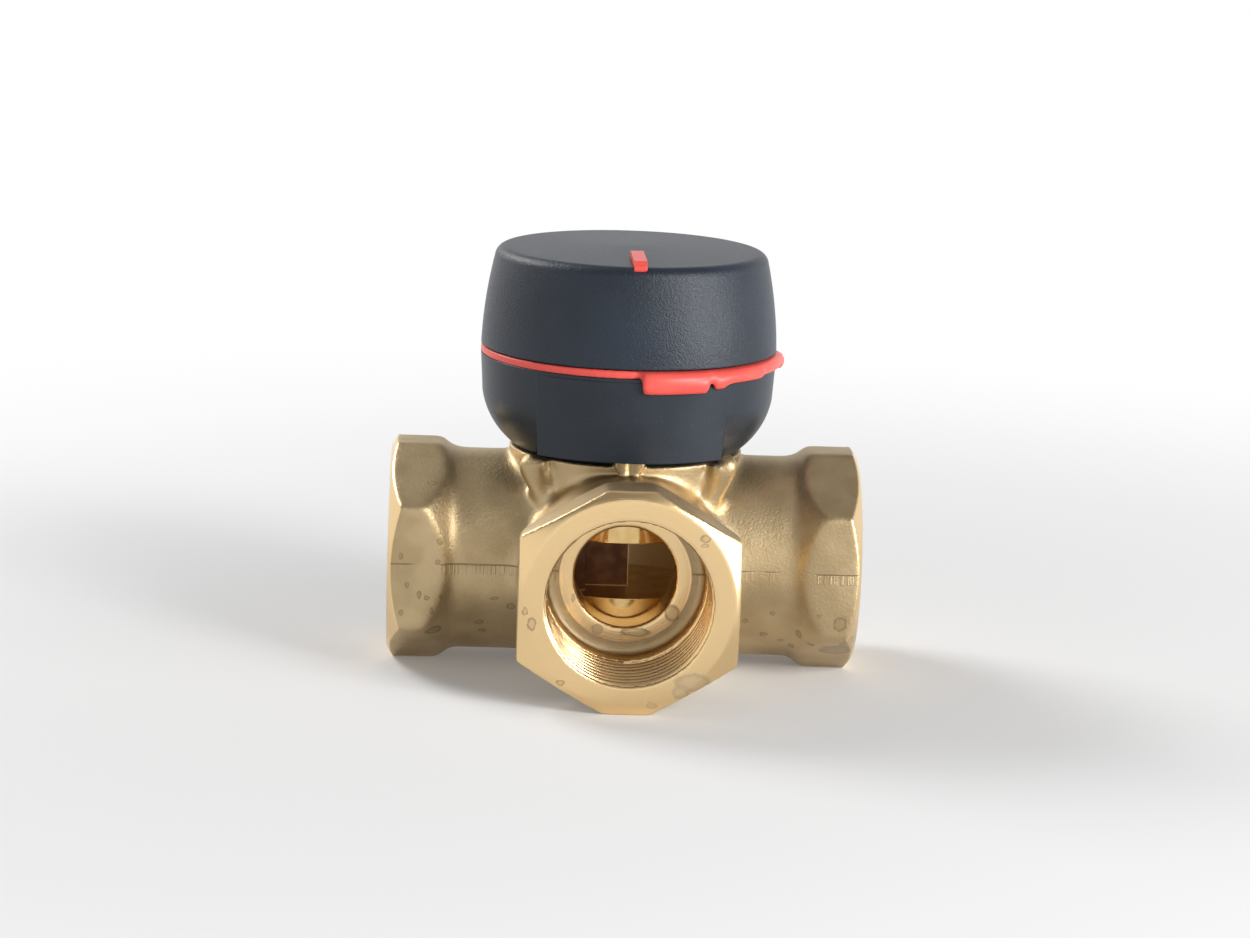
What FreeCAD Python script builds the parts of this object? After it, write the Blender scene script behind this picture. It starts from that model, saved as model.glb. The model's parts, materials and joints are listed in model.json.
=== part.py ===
import FreeCAD, Part
import math
import os
import re
import Sketcher

# Rotary mixing valve with three threaded ports, in millimetres.
# The origin is where the three port axes cross. The knob axis is +Z, the side ports lie along X
# and the front port faces -Y. The valve is drawn with its pointer at the front, at the start of the scale.

# Driving sizes, name: (value, what it is)
SIZES = {
    # forged body
    "port_face": (36.0, "centre to face of each port"),
    "wrench_flats": (32.8, "across the flats of a port collar"),
    "collar_half_height": (16.9, "axis to the cut top and bottom corners of a collar"),
    "collar_top_width": (7.06, "width of those cut corners"),
    "collar_reach": (10.5, "face of a port to where its neck begins"),
    "collar_back_angle": (38.7, "slope of the cone behind a collar"),
    "face_circle_radius": (15.6, "flat ring left on a port face by its chamfer"),
    "face_chamfer_angle": (30.0, "slope of the face chamfer"),
    "neck_radius": (15.5, "outside of the port necks"),
    "neck_cove": (2.0, "cove between collar and neck"),
    "thread_major_radius": (13.22, "root of the 3/4 inch parallel pipe thread"),
    "thread_minor_radius": (12.06, "crest of the 3/4 inch parallel pipe thread"),
    "thread_length": (15.0, "full thread, from the face"),
    "mouth_chamfer": (0.3, "break at the thread's mouth"),
    "shoulder_distance": (18.2, "centre to the shoulder that stops the pipe"),
    "throat_radius": (7.75, "passage from a port into the chamber"),
    "wall_radius": (15.9, "upright wall round the chamber"),
    "base_radius": (12.0, "flat round foot under the chamber"),
    "base_edge": (1.6, "height of the foot's sloping edge"),
    "boss_top": (16.9, "seat of the plastic collar"),
    "boss_radius": (18.0, "boss at its seat"),
    "boss_start": (6.0, "height at which the boss begins to flare"),
    "spigot_radius": (15.2, "spigot that centres the plastic collar"),
    "spigot_top": (21.4, "top of the spigot"),
    "corner_rib_width": (2.2, "rib at each corner of the boss"),
    "corner_rib_top": (20.6, "reach of a corner rib at its top"),
    "corner_rib_foot": (17.0, "reach of a corner rib at its foot"),
    "corner_rib_drop": (8.4, "height of a corner rib"),
    "corner_blend": (2.5, "cove where two necks meet"),
    "key_width": (4.5, "key on the boss that the collar slips over"),
    "key_foot": (15.4, "lowest point of the key"),
    "key_top": (18.4, "top of the key"),
    "key_reach": (19.3, "knob axis to the key's front"),
    "key_groove": (0.8, "width of the groove down the key"),
    "key_groove_depth": (0.5, "depth of that groove"),
    # chamber and rotor
    "chamber_radius": (12.0, "bore of the chamber"),
    "chamber_floor": (-8.9, "height of the chamber's floor"),
    "chamber_step": (9.2, "seat of the bushing"),
    "running_gap": (0.07, "radial gap of the rotor in the chamber"),
    "washer_thickness": (0.5, "both thrust washers"),
    "window_low": (-4.8, "lower edge of the rotor's window"),
    "window_high": (3.8, "upper edge of the rotor's window"),
    "rotor_top": (8.2, "upper face of the rotor"),
    "closing_angle": (96.0, "width of the closing segment"),
    "closing_wall": (3.4, "thickness of the closing segment"),
    "web_width": (6.0, "web that carries the closing segment"),
    "web_end": (1.0, "web's end past the knob axis"),
    "tang_width": (6.0, "square tang of the shaft"),
    "tang_depth": (4.0, "depth of the tang in the rotor"),
    # bushing and shaft
    "bushing_bore_radius": (13.0, "bore for the bushing"),
    "bushing_top": (16.95, "top of the bushing's plug"),
    "nose_radius": (8.5, "nose of the bushing"),
    "nose_top": (25.0, "top of the nose"),
    "slip_gap": (0.05, "gap between parts that slip together"),
    "shaft_radius": (5.0, "shaft in the bushing"),
    "shoulder_radius": (7.0, "shoulder that holds the shaft in"),
    "shoulder_height": (2.0, "height of that shoulder"),
    "seat_height": (1.0, "top of the nose to the shaft's step that carries the knob"),
    "shaft_end_radius": (4.0, "upper end of the shaft"),
    "shaft_top": (41.0, "top of the shaft"),
    "shaft_flat": (2.9, "axis to the flat of the shaft's upper end"),
    "shaft_slot": (1.0, "slot that shows the rotor's position"),
    "shaft_ring_section": (0.56, "radius of a shaft O-ring's section"),
    "shaft_ring_low": (13.6, "height of the lower shaft O-ring"),
    "shaft_ring_high": (18.2, "height of the upper shaft O-ring"),
    "bushing_ring_section": (0.93, "radius of the bushing O-ring's section"),
    "bushing_ring_height": (12.6, "height of the bushing O-ring"),
    "groove_side_gap": (0.25, "room beside an O-ring in its groove"),
    "retainer_thickness": (1.2, "retaining ring of the bushing"),
    "retainer_width": (2.3, "radial width of the retaining ring"),
    "retainer_bite": (0.8, "depth of the retaining ring's groove"),
    "retainer_opening": (50.0, "opening of the retaining ring"),
    "retainer_eye": (1.7, "radius of the retaining ring's eyes"),
    # plastic collar
    "collar_foot_radius": (17.0, "foot of the plastic collar"),
    "collar_floor": (2.5, "thickness of its floor"),
    "collar_bowl_radius": (22.3, "top of its rounded bowl"),
    "collar_bowl_height": (25.0, "height of the bowl's top"),
    "collar_bowl_curve": (12.0, "radius of the bowl's curve"),
    "collar_wall": (1.6, "wall of the plastic collar"),
    "collar_rim": (31.15, "rim that carries the scale ring"),
    "rim_radius": (22.7, "outside of rim, scale ring and knob"),
    "plate_foot_radius": (21.8, "front plate at its foot"),
    "plate_foot": (18.2, "lowest edge of the front plate"),
    "plate_head": (30.6, "height where the front plate ends"),
    "plate_proud": (0.12, "front plate proud of the rim"),
    "plate_angle": (79.0, "width of the front plate"),
    "plate_cheek_angle": (3.6, "thickness of its end walls"),
    "plate_hollow_height": (2.4, "depth of the hollow behind its foot"),
    "snap_ring_thickness": (1.0, "snap ring over the collar's floor"),
    "snap_ring_width": (1.5, "radial width of the snap ring"),
    "snap_ring_bite": (0.7, "depth of the snap ring's groove"),
    "snap_ring_opening": (24.0, "opening of the snap ring"),
    "key_gap": (0.25, "room round the key"),
    "stop_radius": (17.2, "inside of the stop posts"),
    "stop_width": (1.8, "radial width of the stop posts"),
    "stop_top": (30.0, "top of the stop posts"),
    "stop_post_angle": (10.0, "width of a stop post"),
    "stop_lug_angle": (12.0, "width of the knob's stop lug"),
    "stop_gap_angle": (0.6, "angle left between lug and post"),
    "turn_angle": (90.0, "travel of the knob"),
    # scale ring
    "ring_height": (1.2, "red line between collar and knob"),
    "ring_skirt_radius": (20.6, "skirt that centres the scale ring"),
    "ring_skirt_wall": (0.9, "wall of that skirt"),
    "ring_skirt_drop": (2.5, "depth of that skirt"),
    "wedge_radius": (24.1, "outside of the scale's wedge"),
    "wedge_start": (2.5, "start of the wedge, after the front"),
    "wedge_end": (90.0, "end of the wedge"),
    "wedge_first_groove": (30.0, "first groove across the wedge"),
    "wedge_second_groove": (59.0, "second groove across the wedge"),
    "wedge_groove_angle": (1.6, "width of those grooves"),
    "wedge_step": (37.0, "where the wedge steps thinner"),
    "wedge_head_height": (3.8, "height of the wedge's head"),
    "wedge_neck_height": (3.3, "height after the first groove"),
    "wedge_waist_height": (2.6, "height after the step"),
    "wedge_tail_height": (2.2, "height after the second groove"),
    "wedge_stud_height": (2.9, "height of the last stud"),
    "wedge_stud_angle": (4.0, "width of the last stud"),
    "wedge_core_height": (1.9, "height in the grooves"),
    "wedge_core_radius": (23.8, "outside in the grooves"),
    # knob
    "knob_gap": (0.2, "gap between scale ring and knob"),
    "knob_shoulder_radius": (20.95, "knob where its edge rounding begins"),
    "knob_shoulder": (46.0, "height of that shoulder"),
    "knob_edge_radius": (19.3, "knob where its top begins"),
    "knob_edge": (47.5, "height where its top begins"),
    "knob_top": (48.0, "middle of the knob's top"),
    "knob_side_curve": (70.0, "radius of its slightly bulging side"),
    "knob_edge_curve": (1.7, "rounding of its upper edge"),
    "knob_wall": (1.8, "wall of the knob"),
    "hub_radius": (6.5, "hub of the knob"),
    "hub_slit": (1.2, "slits that let the hub grip the shaft"),
    "hub_slit_height": (7.0, "height of the slits"),
    "knob_rib_width": (1.2, "ribs inside the knob"),
    "knob_rib_foot": (1.45, "foot of the knob to the lower edge of those ribs"),
    "knob_rib_count": (6, "ribs inside the knob"),
    "lug_foot": (24.2, "lower end of the knob's stop lug"),
    "clip_height": (3.2, "foot of the hub to the lower face of its spring clip"),
    "clip_width": (2.0, "height of the clip's band"),
    "clip_thickness": (0.8, "thickness of the clip's band"),
    "clip_bite": (0.6, "depth of the clip's groove"),
    "clip_opening": (70.0, "opening of the clip"),
    "pointer_start": (10.5, "inner end of the pointer"),
    "pointer_end": (20.2, "outer end of the pointer"),
    "pointer_width": (2.0, "width of the pointer"),
    "pointer_angle": (1.5, "pointer's place after the front"),
    "pointer_seat": (46.9, "bottom of the pointer's slot"),
    "pointer_top": (48.7, "top of the pointer"),
}

FRONT = 270
SEAT = "(nose_top + seat_height)"

doc = FreeCAD.newDocument("mixing_valve")
sheet = doc.addObject("Spreadsheet::Sheet", "Sizes")
for row, (alias, (size, meaning)) in enumerate(SIZES.items(), start=1):
    sheet.set(f"A{row}", meaning)
    sheet.set(f"B{row}", str(size))
    sheet.setAlias(f"B{row}", alias)
doc.recompute()


def linked(text):
    """Put the sheet's name before each size in an expression."""
    return re.sub(r"[a-z_]+", lambda m: "Sizes." + m.group() if m.group() in SIZES else m.group(), str(text))


def value(text):
    """The number that an expression gives now."""
    result = sheet.evalExpression(linked(text))
    return float(getattr(result, "Value", result))


def bind(thing, field, text):
    thing.setExpression(field, linked(text))


def new_body(name, height=None):
    """An empty body, raised by a height where one is given."""
    body = doc.addObject("PartDesign::Body", name)
    body.Label = name
    if height is not None:
        bind(body, "Placement.Base.z", height)
    return body


def origin_of(body, role):
    return next(part for part in body.Origin.OriginFeatures if part.Role == role)


def new_sketch(body, name, plane, shift=None, swing=None):
    """A sketch on one of the body's own planes, shifted along its normal or swung about its upright."""
    sketch = body.newObject("Sketcher::SketchObject", name)
    sketch.AttachmentSupport = [(origin_of(body, plane), "")]
    sketch.MapMode = "FlatFace"
    if swing is not None:
        sketch.AttachmentOffset = FreeCAD.Placement(
            FreeCAD.Vector(), FreeCAD.Rotation(FreeCAD.Vector(0, 1, 0), value(swing)))
        bind(sketch, "AttachmentOffset.Rotation.Angle", swing)
    if shift is not None:
        bind(sketch, "AttachmentOffset.Base.z", shift)
    return sketch


def pin_point(sketch, edge, end, x, y):
    """Fix one point of a sketch by its two coordinates."""
    for kind, text in (("DistanceX", x), ("DistanceY", y)):
        mark = sketch.addConstraint(Sketcher.Constraint(kind, -1, 1, edge, end, value(text)))
        bind(sketch, f"Constraints[{mark}]", text)


def draw_circle(sketch, radius, x="0", y="0"):
    centre = FreeCAD.Vector(value(x), value(y), 0)
    edge = sketch.addGeometry(Part.Circle(centre, FreeCAD.Vector(0, 0, 1), value(radius)))
    pin_point(sketch, edge, 3, x, y)
    mark = sketch.addConstraint(Sketcher.Constraint("Radius", edge, value(radius)))
    bind(sketch, f"Constraints[{mark}]", radius)


def arc_between(start, end, radius, turn):
    """The short arc from start to end. It turns left or right on its way."""
    chord = end - start
    height = math.sqrt(radius ** 2 - (chord.Length / 2) ** 2)
    side = FreeCAD.Vector(-chord.y, chord.x, 0) / chord.Length
    centre = (start + end) / 2 + side * (height if turn == "left" else -height)
    first, last = (start, end) if turn == "left" else (end, start)
    angles = [math.atan2(point.y - centre.y, point.x - centre.x) for point in (first, last)]
    return Part.ArcOfCircle(Part.Circle(centre, FreeCAD.Vector(0, 0, 1), radius), *angles)


def draw_outline(sketch, corners):
    """A closed outline. A corner is (x, y), or (x, y, radius, turn) where an arc leaves it."""
    places = [FreeCAD.Vector(value(corner[0]), value(corner[1]), 0) for corner in corners]
    edges = []
    for number, corner in enumerate(corners):
        start = places[number]
        end = places[(number + 1) % len(corners)]
        if len(corner) == 4:
            shape = arc_between(start, end, value(corner[2]), corner[3])
        else:
            shape = Part.LineSegment(start, end)
        heads = (2, 1) if corner[-1] == "right" else (1, 2)
        edges.append((sketch.addGeometry(shape), heads))
    for number, (edge, (head, tail)) in enumerate(edges):
        following, (next_head, _) = edges[(number + 1) % len(edges)]
        sketch.addConstraint(Sketcher.Constraint("Coincident", edge, tail, following, next_head))
        pin_point(sketch, edge, head, corners[number][0], corners[number][1])
        if len(corners[number]) == 4:
            radius = corners[number][2]
            mark = sketch.addConstraint(Sketcher.Constraint("Radius", edge, value(radius)))
            bind(sketch, f"Constraints[{mark}]", radius)


def finish_feature(body, feature, cuts):
    """Make a feature the body's tip, and check that it added or removed material."""
    before = feature.BaseFeature.Shape.Volume if feature.BaseFeature else 0.0
    doc.recompute()
    change = feature.Shape.Volume - before
    if change * (-1 if cuts else 1) <= 0:
        raise ValueError(f"{body.Label}: {feature.Name} changes nothing")
    body.Tip = feature
    return feature


def add_pad(body, name, sketch, length, centred=False, back=False, cuts=False):
    """A straight pad, or a straight pocket, of a sketch."""
    feature = body.newObject("PartDesign::Pocket" if cuts else "PartDesign::Pad", name)
    feature.Profile = sketch
    feature.SideType = "Symmetric" if centred else "One side"
    feature.Reversed = back
    bind(feature, "Length", length)
    return finish_feature(body, feature, cuts)


def add_turn(body, name, sketch, axis="V_Axis", angle="360", centred=False, cuts=False):
    """A turned solid, or a turned cut, of a sketch about one of its axes."""
    feature = body.newObject("PartDesign::Groove" if cuts else "PartDesign::Revolution", name)
    feature.Profile = sketch
    feature.ReferenceAxis = (sketch, [axis])
    feature.Midplane = centred
    bind(feature, "Angle", angle)
    return finish_feature(body, feature, cuts)


def add_ring(body, feature, count, cuts=False):
    """Repeat a feature evenly about the knob axis."""
    pattern = body.newObject("PartDesign::PolarPattern", feature.Name + "_pattern")
    pattern.Originals = [feature]
    pattern.Axis = (origin_of(body, "Z_Axis"), [""])
    pattern.Angle = 360
    bind(pattern, "Occurrences", count)
    return finish_feature(body, pattern, cuts)


def turned(body, name, corners, **settings):
    """Draw an outline of (radius, height) corners and turn it about the knob axis."""
    swing = settings.pop("swing", None)
    sketch = new_sketch(body, name + "_outline", "XZ_Plane", swing=swing)
    draw_outline(sketch, corners)
    return add_turn(body, name, sketch, **settings)


def rectangle(low_x, high_x, low_y, high_y):
    return [(low_x, low_y), (high_x, low_y), (high_x, high_y), (low_x, high_y)]


def round_edges(body, name, radius, chosen):
    """Round the edges of the body's tip that a test chooses. They are hollow corners, so material is added."""
    base = body.Tip
    numbers = [number for number, edge in enumerate(base.Shape.Edges, start=1) if chosen(edge)]
    feature = body.newObject("PartDesign::Fillet", name)
    feature.Base = (base, [f"Edge{number}" for number in numbers])
    bind(feature, "Radius", radius)
    return finish_feature(body, feature, False)


# Forged brass body
def collar_outline():
    """A hexagon with upright side flats, its top and bottom corners cut level."""
    half_flats = "wrench_flats / 2"
    corner = "wrench_flats / 2 * tan(30 deg)"
    cut = "collar_top_width / 2"
    right = [
        (cut, "-collar_half_height"),
        (half_flats, f"-{corner}"),
        (half_flats, corner),
        (cut, "collar_half_height"),
    ]
    left = [(f"-({x})", f"-({y})") for x, y in right]
    return right + left


def port_cuts(side):
    """The face chamfer and the cone behind a collar, as outlines of (along the axis, radius)."""
    clear = "(wrench_flats / 2 / cos(30 deg) + 1)"
    neck_start = "(port_face - collar_reach)"
    slope = "collar_back_angle * 1 deg"
    cove_end = f"({neck_start} + neck_cove * sin({slope}))"
    cove_rise = f"(neck_radius + neck_cove * (1 - cos({slope})))"
    chamfer = [
        ("port_face", "face_circle_radius"),
        ("port_face", clear),
        (f"port_face - ({clear} - face_circle_radius) * tan(face_chamfer_angle * 1 deg)", clear),
    ]
    back = [
        (neck_start, "neck_radius", "neck_cove", "left" if side > 0 else "right"),
        (cove_end, cove_rise),
        (f"{cove_end} + ({clear} - {cove_rise}) / tan({slope})", clear),
        (neck_start, clear),
    ]
    return [[(f"{side} * ({corner[0]})", *corner[1:]) for corner in outline] for outline in (chamfer, back)]


def port_bore(side):
    """Thread, tapping bore, shoulder and throat of a port, as an outline of (along the axis, radius)."""
    steps = [
        ("0", "0"),
        ("port_face", "0"),
        ("port_face", "thread_major_radius + mouth_chamfer"),
        ("port_face - mouth_chamfer", "thread_major_radius"),
        ("port_face - thread_length", "thread_major_radius"),
        ("port_face - thread_length", "thread_minor_radius"),
        ("shoulder_distance", "thread_minor_radius"),
        ("shoulder_distance", "throat_radius"),
        ("0", "throat_radius"),
    ]
    return [(f"{side} * ({x})", y) for x, y in steps]


def make_valve_body():
    body = new_body("valve_body")
    neck_length = "port_face - collar_reach / 2"

    sketch = new_sketch(body, "side_neck_circle", "YZ_Plane")
    draw_circle(sketch, "neck_radius")
    add_pad(body, "side_necks", sketch, f"2 * ({neck_length})", centred=True)
    sketch = new_sketch(body, "front_neck_circle", "XZ_Plane")
    draw_circle(sketch, "neck_radius")
    add_pad(body, "front_neck", sketch, neck_length)

    turned(body, "chamber_wall", [
        ("0", "-collar_half_height"),
        ("base_radius", "-collar_half_height"),
        ("wall_radius", "-collar_half_height + base_edge"),
        ("wall_radius", "boss_start"),
        ("boss_radius", "boss_top"),
        ("spigot_radius", "boss_top"),
        ("spigot_radius", "spigot_top"),
        ("0", "spigot_top"),
    ])

    round_edges(body, "neck_coves", "corner_blend", lambda edge: isinstance(edge.Curve, Part.Ellipse))

    sketch = new_sketch(body, "side_collar_outline", "YZ_Plane", shift="port_face")
    draw_outline(sketch, collar_outline())
    right_collar = add_pad(body, "right_collar", sketch, "collar_reach", back=True)
    mirror = body.newObject("PartDesign::Mirrored", "left_collar")
    mirror.Originals = [right_collar]
    mirror.MirrorPlane = (origin_of(body, "YZ_Plane"), [""])
    finish_feature(body, mirror, False)
    sketch = new_sketch(body, "front_collar_outline", "XZ_Plane", shift="port_face")
    draw_outline(sketch, collar_outline())
    add_pad(body, "front_collar", sketch, "collar_reach", back=True)

    for plane, sides in (("XZ_Plane", (1, -1)), ("YZ_Plane", (-1,))):
        for side in sides:
            for name, outline in zip(("face_chamfer", "back_cone"), port_cuts(side)):
                sketch = new_sketch(body, f"{name}_outline", plane)
                draw_outline(sketch, outline)
                add_turn(body, name, sketch, axis="H_Axis", cuts=True)

    sketch = new_sketch(body, "corner_rib_outline", "XZ_Plane", swing="45")
    draw_outline(sketch, [
        ("chamber_radius + 1", "boss_top - corner_rib_drop"),
        ("corner_rib_foot", "boss_top - corner_rib_drop"),
        ("corner_rib_top", "boss_top"),
        ("chamber_radius + 1", "boss_top"),
    ])
    rib = add_pad(body, "corner_rib", sketch, "corner_rib_width", centred=True)
    add_ring(body, rib, "4")

    sketch = new_sketch(body, "key_outline", "XZ_Plane", shift="key_reach")
    half = "key_width / 2"
    draw_outline(sketch, [
        (f"-{half}", f"key_foot + {half}", half, "left"),
        ("0", "key_foot", half, "left"),
        (half, f"key_foot + {half}"),
        (half, "key_top"),
        (f"-{half}", "key_top"),
    ])
    add_pad(body, "key", sketch, "key_reach - spigot_radius + 0.5", back=True)
    sketch = new_sketch(body, "key_groove_outline", "XZ_Plane", shift="key_reach")
    draw_outline(sketch, rectangle("-key_groove / 2", "key_groove / 2", "key_foot - 1", "key_top + 1"))
    add_pad(body, "key_groove", sketch, "key_groove_depth", cuts=True)

    turned(body, "chamber", [
        ("0", "chamber_floor"),
        ("chamber_radius", "chamber_floor"),
        ("chamber_radius", "chamber_step"),
        ("bushing_bore_radius", "chamber_step"),
        ("bushing_bore_radius", "spigot_top"),
        ("0", "spigot_top"),
    ], cuts=True)
    turned(body, "retainer_groove", rectangle(
        "bushing_bore_radius - 1", "bushing_bore_radius + retainer_bite",
        "bushing_top", "bushing_top + retainer_thickness + slip_gap"), cuts=True)
    turned(body, "snap_ring_groove", rectangle(
        "spigot_radius - snap_ring_bite", "spigot_radius + 1",
        "boss_top + collar_floor", "boss_top + collar_floor + snap_ring_thickness + slip_gap"), cuts=True)

    for plane, side in (("XZ_Plane", 1), ("XZ_Plane", -1), ("YZ_Plane", -1)):
        sketch = new_sketch(body, "port_bore_outline", plane)
        draw_outline(sketch, port_bore(side))
        add_turn(body, "port_bore", sketch, axis="H_Axis", cuts=True)
    return body


# Rotor, shaft and their seals
def make_rotor():
    body = new_body("rotor")
    radius = "(chamber_radius - running_gap)"
    foot = "(chamber_floor + washer_thickness)"
    turned(body, "lower_disc", rectangle("0", radius, foot, "window_low"))
    sketch = new_sketch(body, "closing_segment_outline", "XZ_Plane", swing="180")
    draw_outline(sketch, rectangle(f"{radius} - closing_wall", radius, "window_low - 1", "window_high + 1"))
    add_turn(body, "closing_segment", sketch, angle="closing_angle", centred=True)
    turned(body, "upper_disc", rectangle("0", radius, "window_high", "rotor_top"))
    sketch = new_sketch(body, "web_outline", "XY_Plane", shift="window_low - 1")
    draw_outline(sketch, rectangle(f"1 - {radius}", "web_end", "-web_width / 2", "web_width / 2"))
    add_pad(body, "web", sketch, "window_high - window_low + 2")
    sketch = new_sketch(body, "socket_outline", "XY_Plane", shift="rotor_top")
    half = "(tang_width / 2 + slip_gap)"
    draw_outline(sketch, rectangle(f"-{half}", half, f"-{half}", half))
    add_pad(body, "socket", sketch, "tang_depth", cuts=True)
    return body


def make_shaft():
    body = new_body("shaft")
    floor = "(shaft_radius + slip_gap - 0.02 - 2 * shaft_ring_section)"
    half_groove = "(shaft_ring_section + groove_side_gap)"
    corners = [
        ("0", "rotor_top"),
        ("shoulder_radius", "rotor_top"),
        ("shoulder_radius", "rotor_top + shoulder_height"),
        ("shaft_radius", "rotor_top + shoulder_height"),
    ]
    for ring in ("shaft_ring_low", "shaft_ring_high"):
        corners += [
            ("shaft_radius", f"{ring} - {half_groove}"),
            (floor, f"{ring} - {half_groove}"),
            (floor, f"{ring} + {half_groove}"),
            ("shaft_radius", f"{ring} + {half_groove}"),
        ]
    corners += [
        ("shaft_radius", SEAT),
        ("shaft_end_radius", SEAT),
        ("shaft_end_radius", "shaft_top - 0.5"),
        ("shaft_end_radius - 0.5", "shaft_top"),
        ("0", "shaft_top"),
    ]
    turned(body, "stem", corners)
    sketch = new_sketch(body, "tang_outline", "XY_Plane", shift="rotor_top")
    draw_outline(sketch, rectangle("-tang_width / 2", "tang_width / 2", "-tang_width / 2", "tang_width / 2"))
    add_pad(body, "tang", sketch, "tang_depth - slip_gap", back=True)
    sketch = new_sketch(body, "flat_outline", "XY_Plane", shift="shaft_top")
    draw_outline(sketch, rectangle("-shaft_radius", "shaft_radius", "shaft_flat", "shaft_radius"))
    add_pad(body, "flat", sketch, f"shaft_top - {SEAT}", cuts=True)
    sketch = new_sketch(body, "slot_outline", "XY_Plane", shift="shaft_top")
    draw_outline(sketch, rectangle("-shaft_radius", "shaft_radius", "-shaft_slot / 2", "shaft_slot / 2"))
    add_pad(body, "slot", sketch, "1.5 * shaft_slot", cuts=True)
    return body


def make_o_ring(name, middle, section, height):
    ring = doc.addObject("Part::Torus", name)
    ring.Label = name
    bind(ring, "Radius1", middle)
    bind(ring, "Radius2", section)
    bind(ring, "Placement.Base.z", height)
    return ring


def make_washer(name, inner, outer, height):
    body = new_body(name, height)
    sketch = new_sketch(body, "washer_circles", "XY_Plane")
    draw_circle(sketch, outer)
    draw_circle(sketch, inner)
    add_pad(body, "washer", sketch, "washer_thickness")
    return body


def make_bushing():
    body = new_body("bushing")
    outer = "(bushing_bore_radius - slip_gap)"
    bore = "(shaft_radius + slip_gap)"
    throat = "(shoulder_radius + 4 * slip_gap)"
    ceiling = "(rotor_top + shoulder_height + slip_gap + washer_thickness)"
    floor = "(bushing_bore_radius - 0.02 - 2 * bushing_ring_section)"
    half_groove = "(bushing_ring_section + groove_side_gap)"
    turned(body, "bushing_form", [
        (bore, ceiling),
        (throat, ceiling),
        (throat, "chamber_step"),
        (outer, "chamber_step"),
        (outer, f"bushing_ring_height - {half_groove}"),
        (floor, f"bushing_ring_height - {half_groove}"),
        (floor, f"bushing_ring_height + {half_groove}"),
        (outer, f"bushing_ring_height + {half_groove}"),
        (outer, "bushing_top"),
        ("nose_radius", "bushing_top"),
        ("nose_radius", "nose_top - 0.6"),
        ("nose_radius - 0.6", "nose_top"),
        (bore, "nose_top"),
    ])
    return body


def make_open_ring(name, inner, outer, thickness, opening, height, eye=None):
    """A spring ring with an opening at the back, and with pliers' eyes where they are asked for."""
    body = new_body(name, height)
    sketch = new_sketch(body, "ring_section", "XZ_Plane", swing=f"90 + {opening} / 2")
    draw_outline(sketch, rectangle(inner, outer, "0", thickness))
    add_turn(body, "ring", sketch, angle=f"360 - {opening}")
    if eye:
        middle = f"({outer} - {eye} - slip_gap)"
        for side in (1, -1):
            place = f"90 + {side} * ({opening} / 2 + 3)"
            for label, radius, cuts in (("eye", eye, False), ("eye_hole", f"{eye} / 2", True)):
                sketch = new_sketch(body, label + "_circle", "XY_Plane")
                x = f"{middle} * cos(({place}) * 1 deg)"
                y = f"{middle} * sin(({place}) * 1 deg)"
                draw_circle(sketch, radius, x, y)
                add_pad(body, label, sketch, thickness, back=cuts, cuts=cuts)
    return body


# Plastic collar under the knob
def make_collar():
    body = new_body("collar")
    hole = "(spigot_radius + slip_gap)"
    floor_top = "(boss_top + collar_floor)"
    inner_curve = "(collar_bowl_curve - collar_wall)"
    turned(body, "bowl", [
        (hole, "boss_top"),
        ("collar_foot_radius", "boss_top", "collar_bowl_curve", "left"),
        ("collar_bowl_radius", "collar_bowl_height"),
        ("rim_radius", "collar_rim"),
        ("rim_radius - collar_wall", "collar_rim"),
        ("collar_bowl_radius - collar_wall", "collar_bowl_height", inner_curve, "right"),
        ("collar_foot_radius + 0.7", floor_top),
        (hole, floor_top),
    ])

    turned(body, "front_plate", [
        ("collar_foot_radius + 0.5", "plate_foot"),
        ("plate_foot_radius", "plate_foot"),
        ("rim_radius + plate_proud", "plate_head"),
        ("rim_radius - collar_wall / 2", "plate_head"),
        ("collar_bowl_radius - collar_wall / 2", "collar_bowl_height"),
        ("collar_bowl_radius - 1.3 * collar_wall", "collar_bowl_height - 3.5"),
    ], swing=f"{FRONT}", angle="plate_angle", centred=True)
    turned(body, "plate_hollow", [
        ("collar_foot_radius + 1.5", "plate_foot - 1"),
        ("plate_foot_radius - collar_wall", "plate_foot - 1"),
        ("plate_foot_radius - collar_wall", "plate_foot + plate_hollow_height"),
    ], swing=f"{FRONT}", angle="plate_angle - 2 * plate_cheek_angle", centred=True, cuts=True)

    post_middle = "(stop_lug_angle / 2 + stop_gap_angle + stop_post_angle / 2)"
    for middle in (f"{FRONT} - {post_middle}", f"{FRONT} + turn_angle + {post_middle}"):
        turned(body, "stop_post", rectangle(
            "stop_radius", "stop_radius + stop_width", f"{floor_top} - 0.3", "stop_top"),
            swing=middle, angle="stop_post_angle", centred=True)

    sketch = new_sketch(body, "key_slot_outline", "XZ_Plane", shift=f"{hole} - 2")
    half = "(key_width / 2 + key_gap)"
    draw_outline(sketch, rectangle(f"-{half}", half, "boss_top - 1", "key_top + key_gap"))
    add_pad(body, "key_slot", sketch, f"key_reach + key_gap - {hole} + 2", back=True, cuts=True)
    return body


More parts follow.
